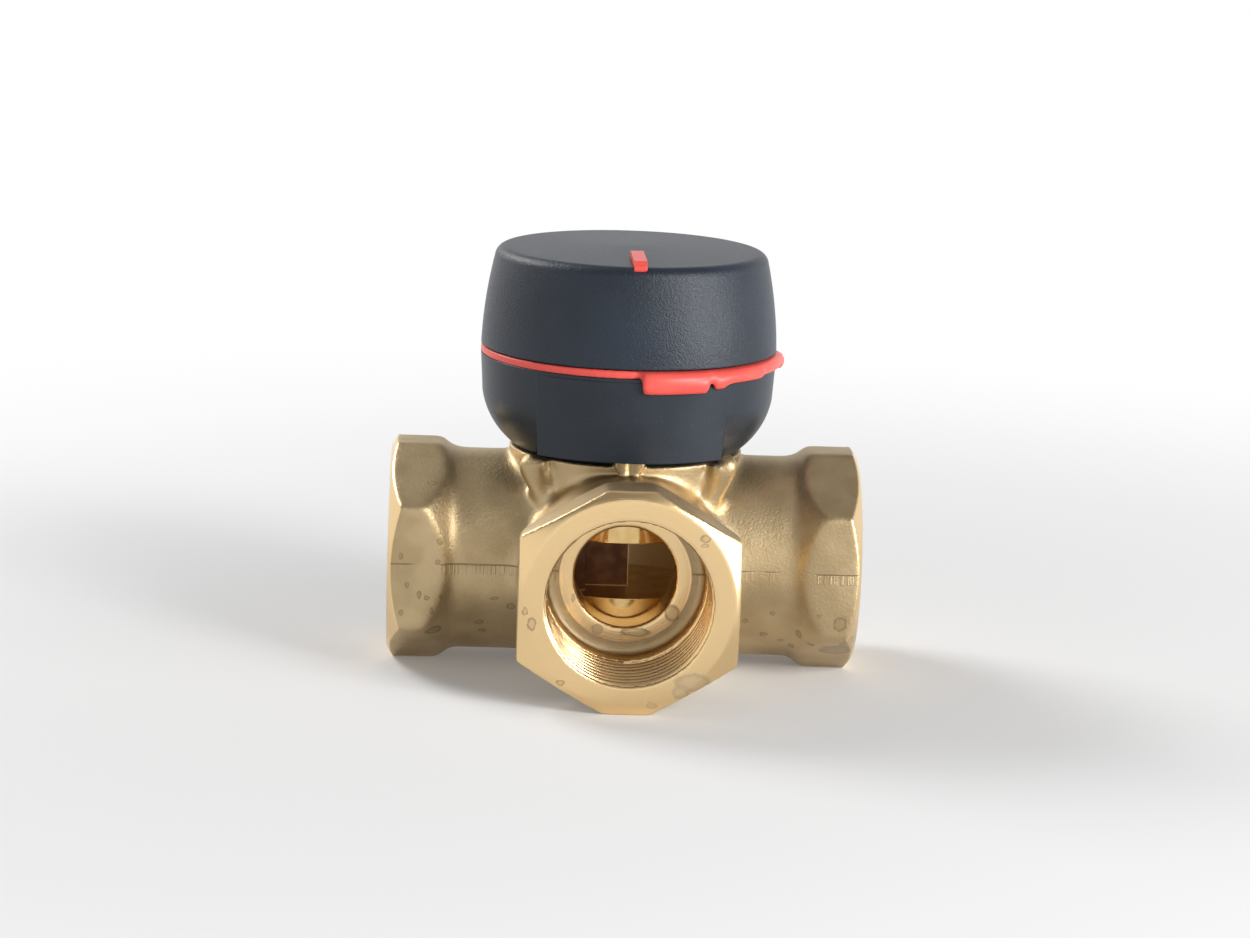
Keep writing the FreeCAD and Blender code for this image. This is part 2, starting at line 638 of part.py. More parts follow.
# Red scale ring
def make_scale_ring():
    body = new_body("scale_ring")
    top = "(collar_rim + ring_height)"
    inner = "(ring_skirt_radius - ring_skirt_wall)"
    turned(body, "ring", [
        (inner, "collar_rim - ring_skirt_drop"),
        ("ring_skirt_radius", "collar_rim - ring_skirt_drop"),
        ("ring_skirt_radius", "collar_rim"),
        ("rim_radius", "collar_rim"),
        ("rim_radius", top),
        (inner, top),
    ])
    clear = "(rim_radius + plate_proud + slip_gap)"

    def lobe(name, start, end, height, reach="wedge_radius"):
        """A rounded length of the wedge. Its section hangs from the ring's upper edge."""
        swell = f"({reach} - {clear})"
        curve = f"({height} * {height} / 8 / {swell} + {swell} / 2)"
        turned(body, name, [
            (clear, f"{top} - {height}", curve, "left"),
            (clear, top),
            ("rim_radius - 0.5", top),
            ("rim_radius - 0.5", "collar_rim + slip_gap"),
            (clear, "collar_rim + slip_gap"),
        ], swing=f"{FRONT} + ({start} + {end}) / 2", angle=f"{end} - {start}", centred=True)

    groove = "(wedge_groove_angle / 2)"
    lobe("wedge_head", "wedge_start", f"(wedge_first_groove - {groove})", "wedge_head_height")
    lobe("wedge_neck", f"(wedge_first_groove + {groove})", "wedge_step", "wedge_neck_height")
    lobe("wedge_waist", "(wedge_step - 1)", f"(wedge_second_groove - {groove})", "wedge_waist_height")
    lobe("wedge_tail", f"(wedge_second_groove + {groove})", "(wedge_end - wedge_stud_angle)", "wedge_tail_height")
    lobe("wedge_stud", "(wedge_end - wedge_stud_angle - 1)", "wedge_end", "wedge_stud_height")
    lobe("wedge_core", "(wedge_start + 1)", "(wedge_end - 1)", "wedge_core_height", "wedge_core_radius")
    return body


# Knob
def make_knob_cap():
    body = new_body("knob_cap")
    foot = "(collar_rim + ring_height + knob_gap)"
    rib_foot = f"({foot} + knob_rib_foot)"
    ceiling = "(knob_shoulder - knob_wall / 3)"
    turned(body, "shell", [
        ("rim_radius - knob_wall", foot),
        ("rim_radius", foot, "knob_side_curve", "left"),
        ("knob_shoulder_radius", "knob_shoulder", "knob_edge_curve", "left"),
        ("knob_edge_radius", "knob_edge"),
        ("0", "knob_top"),
        ("0", ceiling),
        ("knob_shoulder_radius - knob_wall", ceiling),
    ])

    sketch = new_sketch(body, "hub_circle", "XY_Plane", shift=SEAT)
    draw_circle(sketch, "hub_radius")
    add_pad(body, "hub", sketch, f"{ceiling} + 0.2 - {SEAT}")
    sketch = new_sketch(body, "rib_outline", "XZ_Plane", swing=f"{FRONT}")
    draw_outline(sketch, [
        ("hub_radius - 1", rib_foot),
        ("rim_radius - knob_wall * 0.7", rib_foot),
        ("knob_shoulder_radius - knob_wall * 0.7", f"{ceiling} + 0.2"),
        ("hub_radius - 1", f"{ceiling} + 0.2"),
    ])
    rib = add_pad(body, "rib", sketch, "knob_rib_width", centred=True)
    add_ring(body, rib, "knob_rib_count")
    turned(body, "stop_lug", rectangle(
        "stop_radius + slip_gap", "stop_radius + stop_width", "lug_foot", f"{rib_foot} + 4"),
        swing=f"{FRONT}", angle="stop_lug_angle", centred=True)

    sketch = new_sketch(body, "bore_outline", "XY_Plane", shift=SEAT)
    radius = "(shaft_end_radius + slip_gap)"
    flat = "(shaft_flat + slip_gap)"
    half = f"sqrt({radius} * {radius} - {flat} * {flat})"
    draw_outline(sketch, [
        (half, flat),
        (f"-{half}", flat, radius, "left"),
        (f"-{radius}", "0", radius, "left"),
        ("0", f"-{radius}", radius, "left"),
        (radius, "0", radius, "left"),
    ])
    add_pad(body, "bore", sketch, f"shaft_top - {SEAT} + 0.3", back=True, cuts=True)
    for plane in ("XZ_Plane", "YZ_Plane"):
        sketch = new_sketch(body, "slit_outline", plane)
        draw_outline(sketch, rectangle(
            "-hub_radius - 1", "hub_radius + 1", f"{SEAT} - 1", f"{SEAT} + hub_slit_height"))
        add_pad(body, "slit", sketch, "hub_slit", centred=True, cuts=True)
    turned(body, "clip_groove", rectangle(
        "hub_radius - clip_bite", "hub_radius + 1", f"{SEAT} + clip_height",
        f"{SEAT} + clip_height + clip_width + slip_gap"), cuts=True)

    sketch = new_sketch(body, "pointer_slot_outline", "XY_Plane", shift="pointer_seat")
    sketch.AttachmentOffset = FreeCAD.Placement(
        FreeCAD.Vector(), FreeCAD.Rotation(FreeCAD.Vector(0, 0, 1), FRONT + value("pointer_angle")))
    bind(sketch, "AttachmentOffset.Rotation.Angle", f"{FRONT} + pointer_angle")
    draw_outline(sketch, rectangle("pointer_start", "pointer_end + 3", "-pointer_width / 2", "pointer_width / 2"))
    add_pad(body, "pointer_slot", sketch, "knob_top - pointer_seat + 1", back=True, cuts=True)
    return body


def make_knob_pointer():
    body = new_body("knob_pointer", "pointer_seat")
    body.Placement.Rotation = FreeCAD.Rotation(FreeCAD.Vector(0, 0, 1), FRONT + value("pointer_angle"))
    bind(body, "Placement.Rotation.Angle", f"{FRONT} + pointer_angle")
    sketch = new_sketch(body, "pointer_outline", "XZ_Plane")
    height = "(pointer_top - pointer_seat)"
    draw_outline(sketch, [
        ("pointer_start", "0"),
        ("pointer_end", "0"),
        ("pointer_end", f"{height} - 1"),
        ("pointer_end - 0.8", f"{height} - 0.3"),
        ("pointer_start + 0.3", height),
        ("pointer_start", f"{height} - 0.3"),
    ])
    add_pad(body, "pointer_bar", sketch, "pointer_width - 0.02", centred=True)
    return body


parts = [
    make_valve_body(),
    make_washer("lower_thrust_washer", "chamber_radius / 3", "chamber_radius - 0.5", "chamber_floor"),
    make_rotor(),
    make_shaft(),
    make_o_ring("shaft_o_ring_lower", "shaft_radius + slip_gap - 0.02 - shaft_ring_section",
                "shaft_ring_section", "shaft_ring_low"),
    make_o_ring("shaft_o_ring_upper", "shaft_radius + slip_gap - 0.02 - shaft_ring_section",
                "shaft_ring_section", "shaft_ring_high"),
    make_washer("upper_thrust_washer", "shaft_radius + 2 * slip_gap", "shoulder_radius",
                "rotor_top + shoulder_height + slip_gap"),
    make_bushing(),
    make_o_ring("bushing_o_ring", "bushing_bore_radius - 0.01 - bushing_ring_section",
                "bushing_ring_section", "bushing_ring_height"),
    make_open_ring("bushing_retaining_ring", "(bushing_bore_radius + retainer_bite - slip_gap - retainer_width)",
                   "(bushing_bore_radius + retainer_bite - slip_gap)", "retainer_thickness",
                   "retainer_opening", "bushing_top", eye="retainer_eye"),
    make_collar(),
    make_open_ring("collar_snap_ring", "(spigot_radius - snap_ring_bite + slip_gap)",
                   "(spigot_radius - snap_ring_bite + slip_gap + snap_ring_width)", "snap_ring_thickness",
                   "snap_ring_opening", "boss_top + collar_floor"),
    make_scale_ring(),
    make_knob_cap(),
    make_open_ring("knob_clip", "(hub_radius - clip_bite + slip_gap)",
                   "(hub_radius - clip_bite + slip_gap + clip_thickness)", "clip_width",
                   "clip_opening", f"{SEAT} + clip_height"),
    make_knob_pointer(),
]
doc.recompute()

for thing in doc.Objects:
    if {"Invalid", "Error"} & set(thing.State):
        raise RuntimeError(f"{thing.Name} failed: {thing.State}")
for part in parts:
    if part.Shape.isNull() or not part.Shape.isValid() or len(part.Shape.Solids) != 1:
        raise RuntimeError(f"{part.Label} is not one valid solid")

os.makedirs("parts", exist_ok=True)
for part in parts:
    part.Shape.exportStep(f"parts/{part.Label}.step")
    box = part.Shape.BoundBox
    print(f"{part.Label}: {part.Shape.Volume:.1f} mm3, z {box.ZMin:.2f} to {box.ZMax:.2f}")
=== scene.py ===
# %% [markdown]
# # Dressing a rotary mixing valve
# The valve is a brass forging with three threaded ports. A dark knob pulls off its shaft, and a red ring
# with a wedge-shaped scale lies under the knob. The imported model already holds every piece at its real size
# and place, so this lesson leaves them there. It adds the threads and the plain land at the mouth of each
# port, softens the edges of the forging and of the scale, gives each surface its finish, and sets up the
# floor, the light and the camera.

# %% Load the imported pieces
import json
import math

import bmesh
import bpy
from mathutils import Matrix, Vector
from mathutils.bvhtree import BVHTree

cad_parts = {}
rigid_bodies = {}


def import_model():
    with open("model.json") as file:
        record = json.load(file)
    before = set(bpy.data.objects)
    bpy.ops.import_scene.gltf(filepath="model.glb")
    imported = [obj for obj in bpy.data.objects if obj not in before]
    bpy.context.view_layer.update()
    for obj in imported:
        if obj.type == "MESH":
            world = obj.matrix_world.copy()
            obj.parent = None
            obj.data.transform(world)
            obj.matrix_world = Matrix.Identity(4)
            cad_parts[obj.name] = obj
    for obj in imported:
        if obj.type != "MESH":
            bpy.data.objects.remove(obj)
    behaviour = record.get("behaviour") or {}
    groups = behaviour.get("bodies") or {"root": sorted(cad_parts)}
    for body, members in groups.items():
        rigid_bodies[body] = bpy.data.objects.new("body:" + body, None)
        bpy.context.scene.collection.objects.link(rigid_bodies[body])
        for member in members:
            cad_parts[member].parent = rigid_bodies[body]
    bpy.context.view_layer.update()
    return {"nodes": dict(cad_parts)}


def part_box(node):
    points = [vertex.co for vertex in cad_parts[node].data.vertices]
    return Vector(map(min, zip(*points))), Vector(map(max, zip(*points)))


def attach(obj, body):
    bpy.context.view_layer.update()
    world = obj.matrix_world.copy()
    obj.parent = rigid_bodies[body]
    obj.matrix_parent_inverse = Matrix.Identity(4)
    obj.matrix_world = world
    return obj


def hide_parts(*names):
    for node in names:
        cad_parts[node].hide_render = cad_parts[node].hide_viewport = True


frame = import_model()
nodes = frame["nodes"]
MM = 0.001
body_low, body_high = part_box("valve_body")
PORT_FACE = body_high.x
FLOOR_HEIGHT = body_low.z
print("pieces:", len(nodes), "port face at", round(PORT_FACE / MM, 2), "mm")

# %% [markdown]
# ## The camera
# A close view of a small object flattens or stretches it, so the camera's distance matters as much as its
# angle. The camera stands a little over half a metre away, slightly left of the front port, and looks down
# at it by about eleven degrees. It is also rolled by two degrees, because the valve leans that way in the
# picture. The three axes of the camera are worked out as vectors, because the same vectors later turn a
# place in the picture into a place on the valve.

# %% Camera
PICTURE_WIDTH = 1250
PICTURE_HEIGHT = 938
FOCAL_LENGTH_IN_PIXELS = 3927
SENSOR_WIDTH = 36
CAMERA_SWING = math.radians(-2.40)
CAMERA_RISE = math.radians(11.46)
CAMERA_ROLL = math.radians(2.08)
CAMERA_DISTANCE = 0.6077
AIM = Vector((0.0001, 0, 0.013))

back = Vector((
    math.sin(CAMERA_SWING) * math.cos(CAMERA_RISE),
    -math.cos(CAMERA_SWING) * math.cos(CAMERA_RISE),
    math.sin(CAMERA_RISE),
))
level = Vector((0, 0, 1)).cross(back).normalized()
upright = back.cross(level)
right = math.cos(CAMERA_ROLL) * level + math.sin(CAMERA_ROLL) * upright
up = math.cos(CAMERA_ROLL) * upright - math.sin(CAMERA_ROLL) * level
eye = AIM + CAMERA_DISTANCE * back

lens = bpy.data.cameras.new("camera")
lens.sensor_fit = "HORIZONTAL"
lens.sensor_width = SENSOR_WIDTH
lens.lens = FOCAL_LENGTH_IN_PIXELS * SENSOR_WIDTH / PICTURE_WIDTH
camera = bpy.data.objects.new("camera", lens)
camera.matrix_world = Matrix.Translation(eye) @ Matrix((right, up, back)).transposed().to_4x4()
bpy.context.scene.collection.objects.link(camera)
bpy.context.scene.camera = camera
print("camera at", [round(value, 3) for value in eye], "lens", round(lens.lens, 1))

# %% [markdown]
# ## Floor, world and lamps
# Brass shows its surroundings more than its own colour. A studio with pale walls, darker walls above them
# and a few soft lamps gives it long gentle highlights. The world is painted by direction: white at the
# level of the eye and below, dark grey higher up and pale grey overhead. Matt surfaces get only a part of
# its light, so that they don't wash out. The floor is a real disc. Near the valve it is plain white card,
# so that it takes the shadow. Further out it turns into pure white for camera, glossy and transmission
# rays, so that no edge shows behind the valve.

# %% Helpers for shader nodes
def put(tree, kind, settings=None, inputs=None):
    """Adds a node, then sets its settings and sets or links its inputs, which are named or numbered."""
    made = tree.nodes.new(kind)
    for name, value in (settings or {}).items():
        setattr(made, name, value)
    for name, value in (inputs or {}).items():
        feed(tree, made.inputs[name], value)
    return made


def feed(tree, socket, value):
    """Links a socket to another node's output, or sets it to a plain value."""
    if isinstance(value, bpy.types.NodeSocket):
        tree.links.new(value, socket)
    else:
        socket.default_value = value


print("node helpers ready")

# %% Helpers for arithmetic
def calc(tree, operation, *terms, clamp=False):
    """One step of arithmetic on numbers; gives the socket that holds the result."""
    settings = {"operation": operation, "use_clamp": clamp}
    return put(tree, "ShaderNodeMath", settings, dict(enumerate(terms))).outputs[0]


def calc_vector(tree, operation, *terms):
    """One step of arithmetic on vectors; gives the node, because some steps give a number instead."""
    return put(tree, "ShaderNodeVectorMath", {"operation": operation}, dict(enumerate(terms)))


def hypotenuse(tree, first, second):
    """How far a place is from an axis, from its two coordinates across the axis."""
    squares = calc(tree, "MULTIPLY_ADD", first, first, calc(tree, "MULTIPLY", second, second))
    return calc(tree, "SQRT", squares)


def soft_step(tree, value, start, end):
    """Goes smoothly from 0 at start to 1 at end."""
    settings = {"interpolation_type": "SMOOTHSTEP", "clamp": True}
    inputs = {"Value": value, "From Min": start, "From Max": end}
    return put(tree, "ShaderNodeMapRange", settings, inputs).outputs[0]


def soft_drop(tree, value, start, end):
    """Goes smoothly from 1 at start to 0 at end."""
    return calc(tree, "SUBTRACT", 1.0, soft_step(tree, value, start, end))


def between(tree, share, first, second):
    """Mixes two numbers by a share between 0 and 1."""
    return put(tree, "ShaderNodeMix", {"data_type": "FLOAT"}, {0: share, 2: first, 3: second}).outputs[0]


print("arithmetic helpers ready")

# %% Helpers for colours
# the curve of screen colours: a straight foot, then a power
FOOT_END = 0.04045
FOOT_SLOPE = 12.92
CURVE_SHIFT = 0.055
CURVE_POWER = 2.4


def blend(tree, share, first, second):
    """Mixes two colours by a share between 0 and 1."""
    # a mix node has its two colours at sockets 6 and 7, and the mixed colour at socket 2
    made = put(tree, "ShaderNodeMix", {"data_type": "RGBA"}, {0: share, 6: first, 7: second})
    return made.outputs[2]


def cover(tree, paint, mask, share, top):
    """Lays a colour over the paint, where the mask is 1 and as strongly as the share says."""
    return blend(tree, calc(tree, "MULTIPLY", mask, share), paint, top)


def colour(red, green, blue):
    """A screen colour, 0 to 255, as the linear colour that a shader wants."""
    def linear(part):
        share = part / 255
        if share <= FOOT_END:
            return share / FOOT_SLOPE
        return ((share + CURVE_SHIFT) / (1 + CURVE_SHIFT)) ** CURVE_POWER
    return (linear(red), linear(green), linear(blue), 1)


print("colour helpers ready; brass as a linear colour:", [round(part, 3) for part in colour(217, 187, 132)])

# %% Rays that look straight at the studio
def seen_directly(tree):
    """1 for camera, glossy and transmission rays, 0 for the light that falls on matt surfaces."""
    ray = put(tree, "ShaderNodeLightPath").outputs
    seen = calc(tree, "MAXIMUM", ray["Is Camera Ray"], ray["Is Glossy Ray"])
    return calc(tree, "MAXIMUM", seen, ray["Is Transmission Ray"])


print("ray helper ready")

# %% World painted by direction
WALL = 1.0
UPPER_WALL = 0.24
CEILING = 0.50
# where the upper wall and the ceiling fade in, as the sine of the angle above the horizon
UPPER_WALL_FADE = (0.30, 0.68)
CEILING_FADE = (0.80, 0.98)
MATT_SHARE = 0.6

world = bpy.data.worlds.new("studio")
bpy.context.scene.world = world
world.use_nodes = True
sky = world.node_tree
sky.nodes.clear()
direction = put(sky, "ShaderNodeTexCoord").outputs["Generated"]
height = put(sky, "ShaderNodeSeparateXYZ", inputs={0: direction}).outputs["Z"]
upper = soft_step(sky, height, *UPPER_WALL_FADE)
overhead = soft_step(sky, height, *CEILING_FADE)
tone = between(sky, overhead, between(sky, upper, WALL, UPPER_WALL), CEILING)
strength = between(sky, seen_directly(sky), MATT_SHARE, 1.0)
background = put(sky, "ShaderNodeBackground", inputs={"Color": tone, "Strength": strength})
put(sky, "ShaderNodeOutputWorld", inputs={"Surface": background.outputs[0]})
print("world: walls", WALL, "upper walls", UPPER_WALL, "ceiling", CEILING)

# %% Floor
FLOOR_RADIUS = 3.0
CARD_ENDS = 0.07
WHITE_STARTS = 0.30
CARD_GLOW = 0.12
FLOOR_SIDES = 96
CARD_WHITE = colour(236, 236, 236)


def make_floor():
    """A wide white disc under the valve."""
    rim = [
        (FLOOR_RADIUS * math.cos(turn), FLOOR_RADIUS * math.sin(turn), FLOOR_HEIGHT)
        for turn in (2 * math.pi * step / FLOOR_SIDES for step in range(FLOOR_SIDES))
    ]
    mesh = bpy.data.meshes.new("floor")
    mesh.from_pydata(rim, [], [list(range(FLOOR_SIDES))])
    floor = bpy.data.objects.new("floor", mesh)
    bpy.context.scene.collection.objects.link(floor)
    return floor


def floor_material():
    """White card near the valve, which turns into a white backdrop for the rays that see the background."""
    material = bpy.data.materials.new("floor_card")
    material.use_nodes = True
    tree = material.node_tree
    tree.nodes.clear()
    seen = seen_directly(tree)
    place = put(tree, "ShaderNodeTexCoord").outputs["Object"]
    away = calc_vector(tree, "LENGTH", place).outputs["Value"]
    far = soft_step(tree, away, CARD_ENDS, WHITE_STARTS)
    share = calc(tree, "MULTIPLY", seen, between(tree, far, CARD_GLOW, 1.0))
    card = put(tree, "ShaderNodeBsdfDiffuse", inputs={"Color": CARD_WHITE})
    white = put(tree, "ShaderNodeEmission", inputs={"Strength": 1.0})
    both = put(tree, "ShaderNodeMixShader", inputs={0: share, 1: card.outputs[0], 2: white.outputs[0]})
    put(tree, "ShaderNodeOutputMaterial", inputs={"Surface": both.outputs[0]})
    return material


floor = make_floor()
floor.data.materials.append(floor_material())
print("floor at", round(FLOOR_HEIGHT / MM, 2), "mm")

# %% Lamps
LAMPS = {
    # name: (place, width and length in metres, power in watts)
    "key_softbox": ((0.42, -0.42, 0.30), 0.22, 0.22, 2.4),
    "right_softbox": ((0.56, -0.30, 0.07), 0.26, 0.14, 2.2),
    "left_softbox": ((-0.44, 0.32, 0.44), 0.30, 0.30, 3.0),
}


def make_lamp(name, place, width, length, power):
    """A soft rectangle of light that faces the valve."""
    light = bpy.data.lights.new(name, "AREA")
    light.shape = "RECTANGLE"
    light.size = width
    light.size_y = length
    light.energy = power
    lamp = bpy.data.objects.new(name, light)
    lamp.location = place
    lamp.rotation_euler = (Vector(place) - AIM).to_track_quat("Z", "Y").to_euler()
    bpy.context.scene.collection.objects.link(lamp)


for name, (place, width, length, power) in LAMPS.items():
    make_lamp(name, place, width, length, power)
bpy.context.scene.view_settings.view_transform = "Standard"
print("lamps:", ", ".join(LAMPS))

# %% [markdown]
# ## Threads in the ports
# Each port takes a three-quarter inch pipe, with fourteen turns to the inch. The turned bore is in the
# model, and the ridge of the thread is left to this script, because it is one fine shape that repeats turn
# after turn. A bump in the material could draw it, but its crests wouldn't stand out at the mouth or catch
# the light one by one. A spiral with a trapezoid swept along it gives the real shape, so Geometry Nodes
# make it: the tree has the sizes of the thread as its inputs, makes one spiral, and turns copies of it to
# the three ports. At each mouth the crest is turned back to a plain land. A second tree sweeps that round a
# circle, and it is merged into the body further down, before the body is softened, so that its edge is as
# round as the others.

# %% Geometry Nodes helpers
NUMBER = "NodeSocketFloat"
COUNT = "NodeSocketInt"
FINISH = "NodeSocketMaterial"
SHARP_ANGLE = math.radians(35)


def new_recipe(name, inputs):
    """An empty Geometry Nodes tree with named inputs; gives the tree, its inlet and its outlet."""
    tree = bpy.data.node_groups.new(name, "GeometryNodeTree")
    tree.interface.new_socket("Geometry", in_out="OUTPUT", socket_type="NodeSocketGeometry")
    for label, kind in inputs.items():
        tree.interface.new_socket(label, in_out="INPUT", socket_type=kind)
    return tree, put(tree, "NodeGroupInput").outputs, put(tree, "NodeGroupOutput")


def grow(name, tree, values):
    """Runs a tree with the given inputs and keeps the result as a plain mesh object."""
    seed = bpy.data.objects.new(name + "_seed", bpy.data.meshes.new(name + "_seed"))
    bpy.context.scene.collection.objects.link(seed)
    modifier = seed.modifiers.new("recipe", "NODES")
    modifier.node_group = tree
    sockets = {item.name: item.identifier for item in tree.interface.items_tree if item.in_out == "INPUT"}
    for label, value in values.items():
        modifier[sockets[label]] = value
    evaluated = seed.evaluated_get(bpy.context.evaluated_depsgraph_get())
    mesh = bpy.data.meshes.new_from_object(evaluated)
    seed.modifiers.clear()
    bpy.data.objects.remove(seed)
    mesh.name = name
    made = bpy.data.objects.new(name, mesh)
    bpy.context.scene.collection.objects.link(made)
    return made


def clean(piece):
    """Smooth shading with crisp edges where faces meet at more than the sharp angle."""
    piece.data.shade_smooth()
    piece.data.set_sharp_from_angle(angle=SHARP_ANGLE)


print("Geometry Nodes helpers ready")

# %% Sizes of the thread and of the land
INCH = 25.4 * MM
TURNS_TO_THE_INCH = 14
THREAD_PITCH = INCH / TURNS_TO_THE_INCH
THREAD_RADIUS = 13.22 * MM
CREST_RADIUS = 12.20 * MM
THREAD_LENGTH = 13.4 * MM
THREAD_LEAD_IN = 1.1 * MM
THREAD_STEPS = 96
# widths of the ridge at its root and at its crest, as shares of the pitch
ROOT_SHARE = 0.92
CREST_SHARE = 0.30
CREST_ROUNDING = 0.25 * MM
ROUNDING_STEPS = 3
# how far the ridge goes into the wall, so that no gap shows
SUNK = 0.04 * MM
LAND_RADIUS = 12.56 * MM
LAND_DEPTH = 1.0 * MM
# the back of the land, inside the brass
MOUTH_RADIUS = 14.1 * MM
print("thread:", round(THREAD_LENGTH / THREAD_PITCH, 2), "turns in each port")

# %% Copies at the three ports
PORT_TURNS = (0, -90, 180)


def at_each_port(tree, shape, start):
    """Lays a shape that stands on Z along X, that far from the middle, and copies it to all three ports."""
    laid = put(tree, "GeometryNodeTransform", inputs={
        "Geometry": shape,
        "Rotation": (0, math.radians(90), 0),
        "Translation": put(tree, "ShaderNodeCombineXYZ", inputs={0: start}).outputs[0],
    })
    joined = put(tree, "GeometryNodeJoinGeometry")
    for port_turn in PORT_TURNS:
        copy = put(tree, "GeometryNodeTransform", inputs={
            "Geometry": laid.outputs[0], "Rotation": (0, 0, math.radians(port_turn)),
        })
        tree.links.new(copy.outputs[0], joined.inputs[0])
    return put(tree, "GeometryNodeRealizeInstances", inputs={0: joined.outputs[0]}).outputs[0]


print("ports at", PORT_TURNS, "degrees")

# %% The land tree
def land_recipe():
    """The plain ring at each mouth, where the crest has been turned back to a small chamfer."""
    tree, inlet, outlet = new_recipe("port land", {
        "Face": NUMBER,
        "Crest radius": NUMBER,
        "Land radius": NUMBER,
        "Land depth": NUMBER,
        "Mouth radius": NUMBER,
        "Steps": COUNT,
        "Material": FINISH,
    })
    rail = put(tree, "GeometryNodeCurvePrimitiveCircle", {"mode": "RADIUS"}, {
        "Resolution": inlet["Steps"], "Radius": inlet["Mouth radius"],
    })
    to_land = calc(tree, "SUBTRACT", inlet["Land radius"], inlet["Mouth radius"])
    to_crest = calc(tree, "SUBTRACT", inlet["Crest radius"], inlet["Mouth radius"])
    middle = calc(tree, "MULTIPLY", inlet["Land depth"], 0.5)
    # on this circle a corner's first number points away from the axis, and its second into the port
    corners = [(0.0, 0.0), (to_land, 0.0), (to_crest, middle), (0.0, inlet["Land depth"])]
    points = {
        f"Point {number}": put(tree, "ShaderNodeCombineXYZ", inputs={0: outward, 1: inward}).outputs[0]
        for number, (outward, inward) in enumerate(corners, start=1)
    }
    section = put(tree, "GeometryNodeCurvePrimitiveQuadrilateral", {"mode": "POINTS"}, points)
    steady = put(tree, "GeometryNodeSetCurveNormal", {"mode": "Z_UP"}, {"Curve": rail.outputs[0]})
    ring = put(tree, "GeometryNodeCurveToMesh", inputs={
        "Curve": steady.outputs[0], "Profile Curve": section.outputs[0],
    })
    dressed = put(tree, "GeometryNodeSetMaterial", inputs={
        "Geometry": at_each_port(tree, ring.outputs[0], inlet["Face"]), "Material": inlet["Material"],
    })
    feed(tree, outlet.inputs[0], dressed.outputs[0])
    return tree


port_land = land_recipe()
print("land tree has", len(port_land.nodes), "nodes")

# %% The thread tree
def thread_recipe():
    """One swept spiral, copied to the right, front and left ports."""
    tree, inlet, outlet = new_recipe("port thread", {
        "Wall radius": NUMBER,
        "Depth": NUMBER,
        "Pitch": NUMBER,
        "Length": NUMBER,
        "Start": NUMBER,
        "Crest rounding": NUMBER,
        "Steps": COUNT,
        "Material": FINISH,
    })
    turns = calc(tree, "DIVIDE", inlet["Length"], inlet["Pitch"])
    spiral = put(tree, "GeometryNodeCurveSpiral", inputs={
        "Resolution": inlet["Steps"],
        "Rotations": turns,
        "Start Radius": inlet["Wall radius"],
        "End Radius": inlet["Wall radius"],
        "Height": inlet["Length"],
    })
    steady = put(tree, "GeometryNodeSetCurveNormal", {"mode": "Z_UP"}, {"Curve": spiral.outputs[0]})
    root = calc(tree, "MULTIPLY", inlet["Pitch"], ROOT_SHARE)
    crest = calc(tree, "MULTIPLY", inlet["Pitch"], CREST_SHARE)
    section = put(tree, "GeometryNodeCurvePrimitiveQuadrilateral", {"mode": "TRAPEZOID"}, {
        "Bottom Width": root, "Top Width": crest, "Height": inlet["Depth"], "Offset": 0.0,
    })
    half = calc(tree, "DIVIDE", inlet["Depth"], 2.0)
    lift = put(tree, "ShaderNodeCombineXYZ", inputs={0: half})
    stood = put(tree, "GeometryNodeTransform", inputs={
        "Geometry": section.outputs[0],
        "Rotation": (0, 0, math.radians(-90)),
        "Translation": lift.outputs[0],
    })
    rounded = put(tree, "GeometryNodeFilletCurve", {"mode": "POLY"}, {
        "Curve": stood.outputs[0],
        "Count": ROUNDING_STEPS,
        "Radius": inlet["Crest rounding"],
        "Limit Radius": True,
    })
    ridge = put(tree, "GeometryNodeCurveToMesh", inputs={
        "Curve": steady.outputs[0], "Profile Curve": rounded.outputs[0], "Fill Caps": True,
    })
    dressed = put(tree, "GeometryNodeSetMaterial", inputs={
        "Geometry": at_each_port(tree, ridge.outputs[0], inlet["Start"]), "Material": inlet["Material"],
    })
    feed(tree, outlet.inputs[0], dressed.outputs[0])
    return tree


port_thread = thread_recipe()
print("thread tree has", len(port_thread.nodes), "nodes")

# %% [markdown]
# ## Where the marks lie
# The brass carries water spots and a bluish film that are part of its look. They could be painted on an
# image, but then the body would have to be unwrapped first. Here each one is given by its place in the
# picture and its size, and a ray from the camera through that place finds the point on the brass that shows
# there. The spot then belongs to the surface and stays with it in every other view.

# %% Find the point that shows at a place in the picture
def under_picture(search_tree, across, down):
    """The point on the brass that the camera sees at a pixel, or None where it sees something else."""
    ray = (across - PICTURE_WIDTH / 2) * right - (down - PICTURE_HEIGHT / 2) * up
    ray -= FOCAL_LENGTH_IN_PIXELS * back
    return search_tree.ray_cast(eye, ray.normalized())[0]


brass = nodes["valve_body"].data
search = BVHTree.FromPolygons(
    [vertex.co for vertex in brass.vertices],
    [list(face.vertices) for face in brass.polygons],
)
print("brass faces to search:", len(brass.polygons))

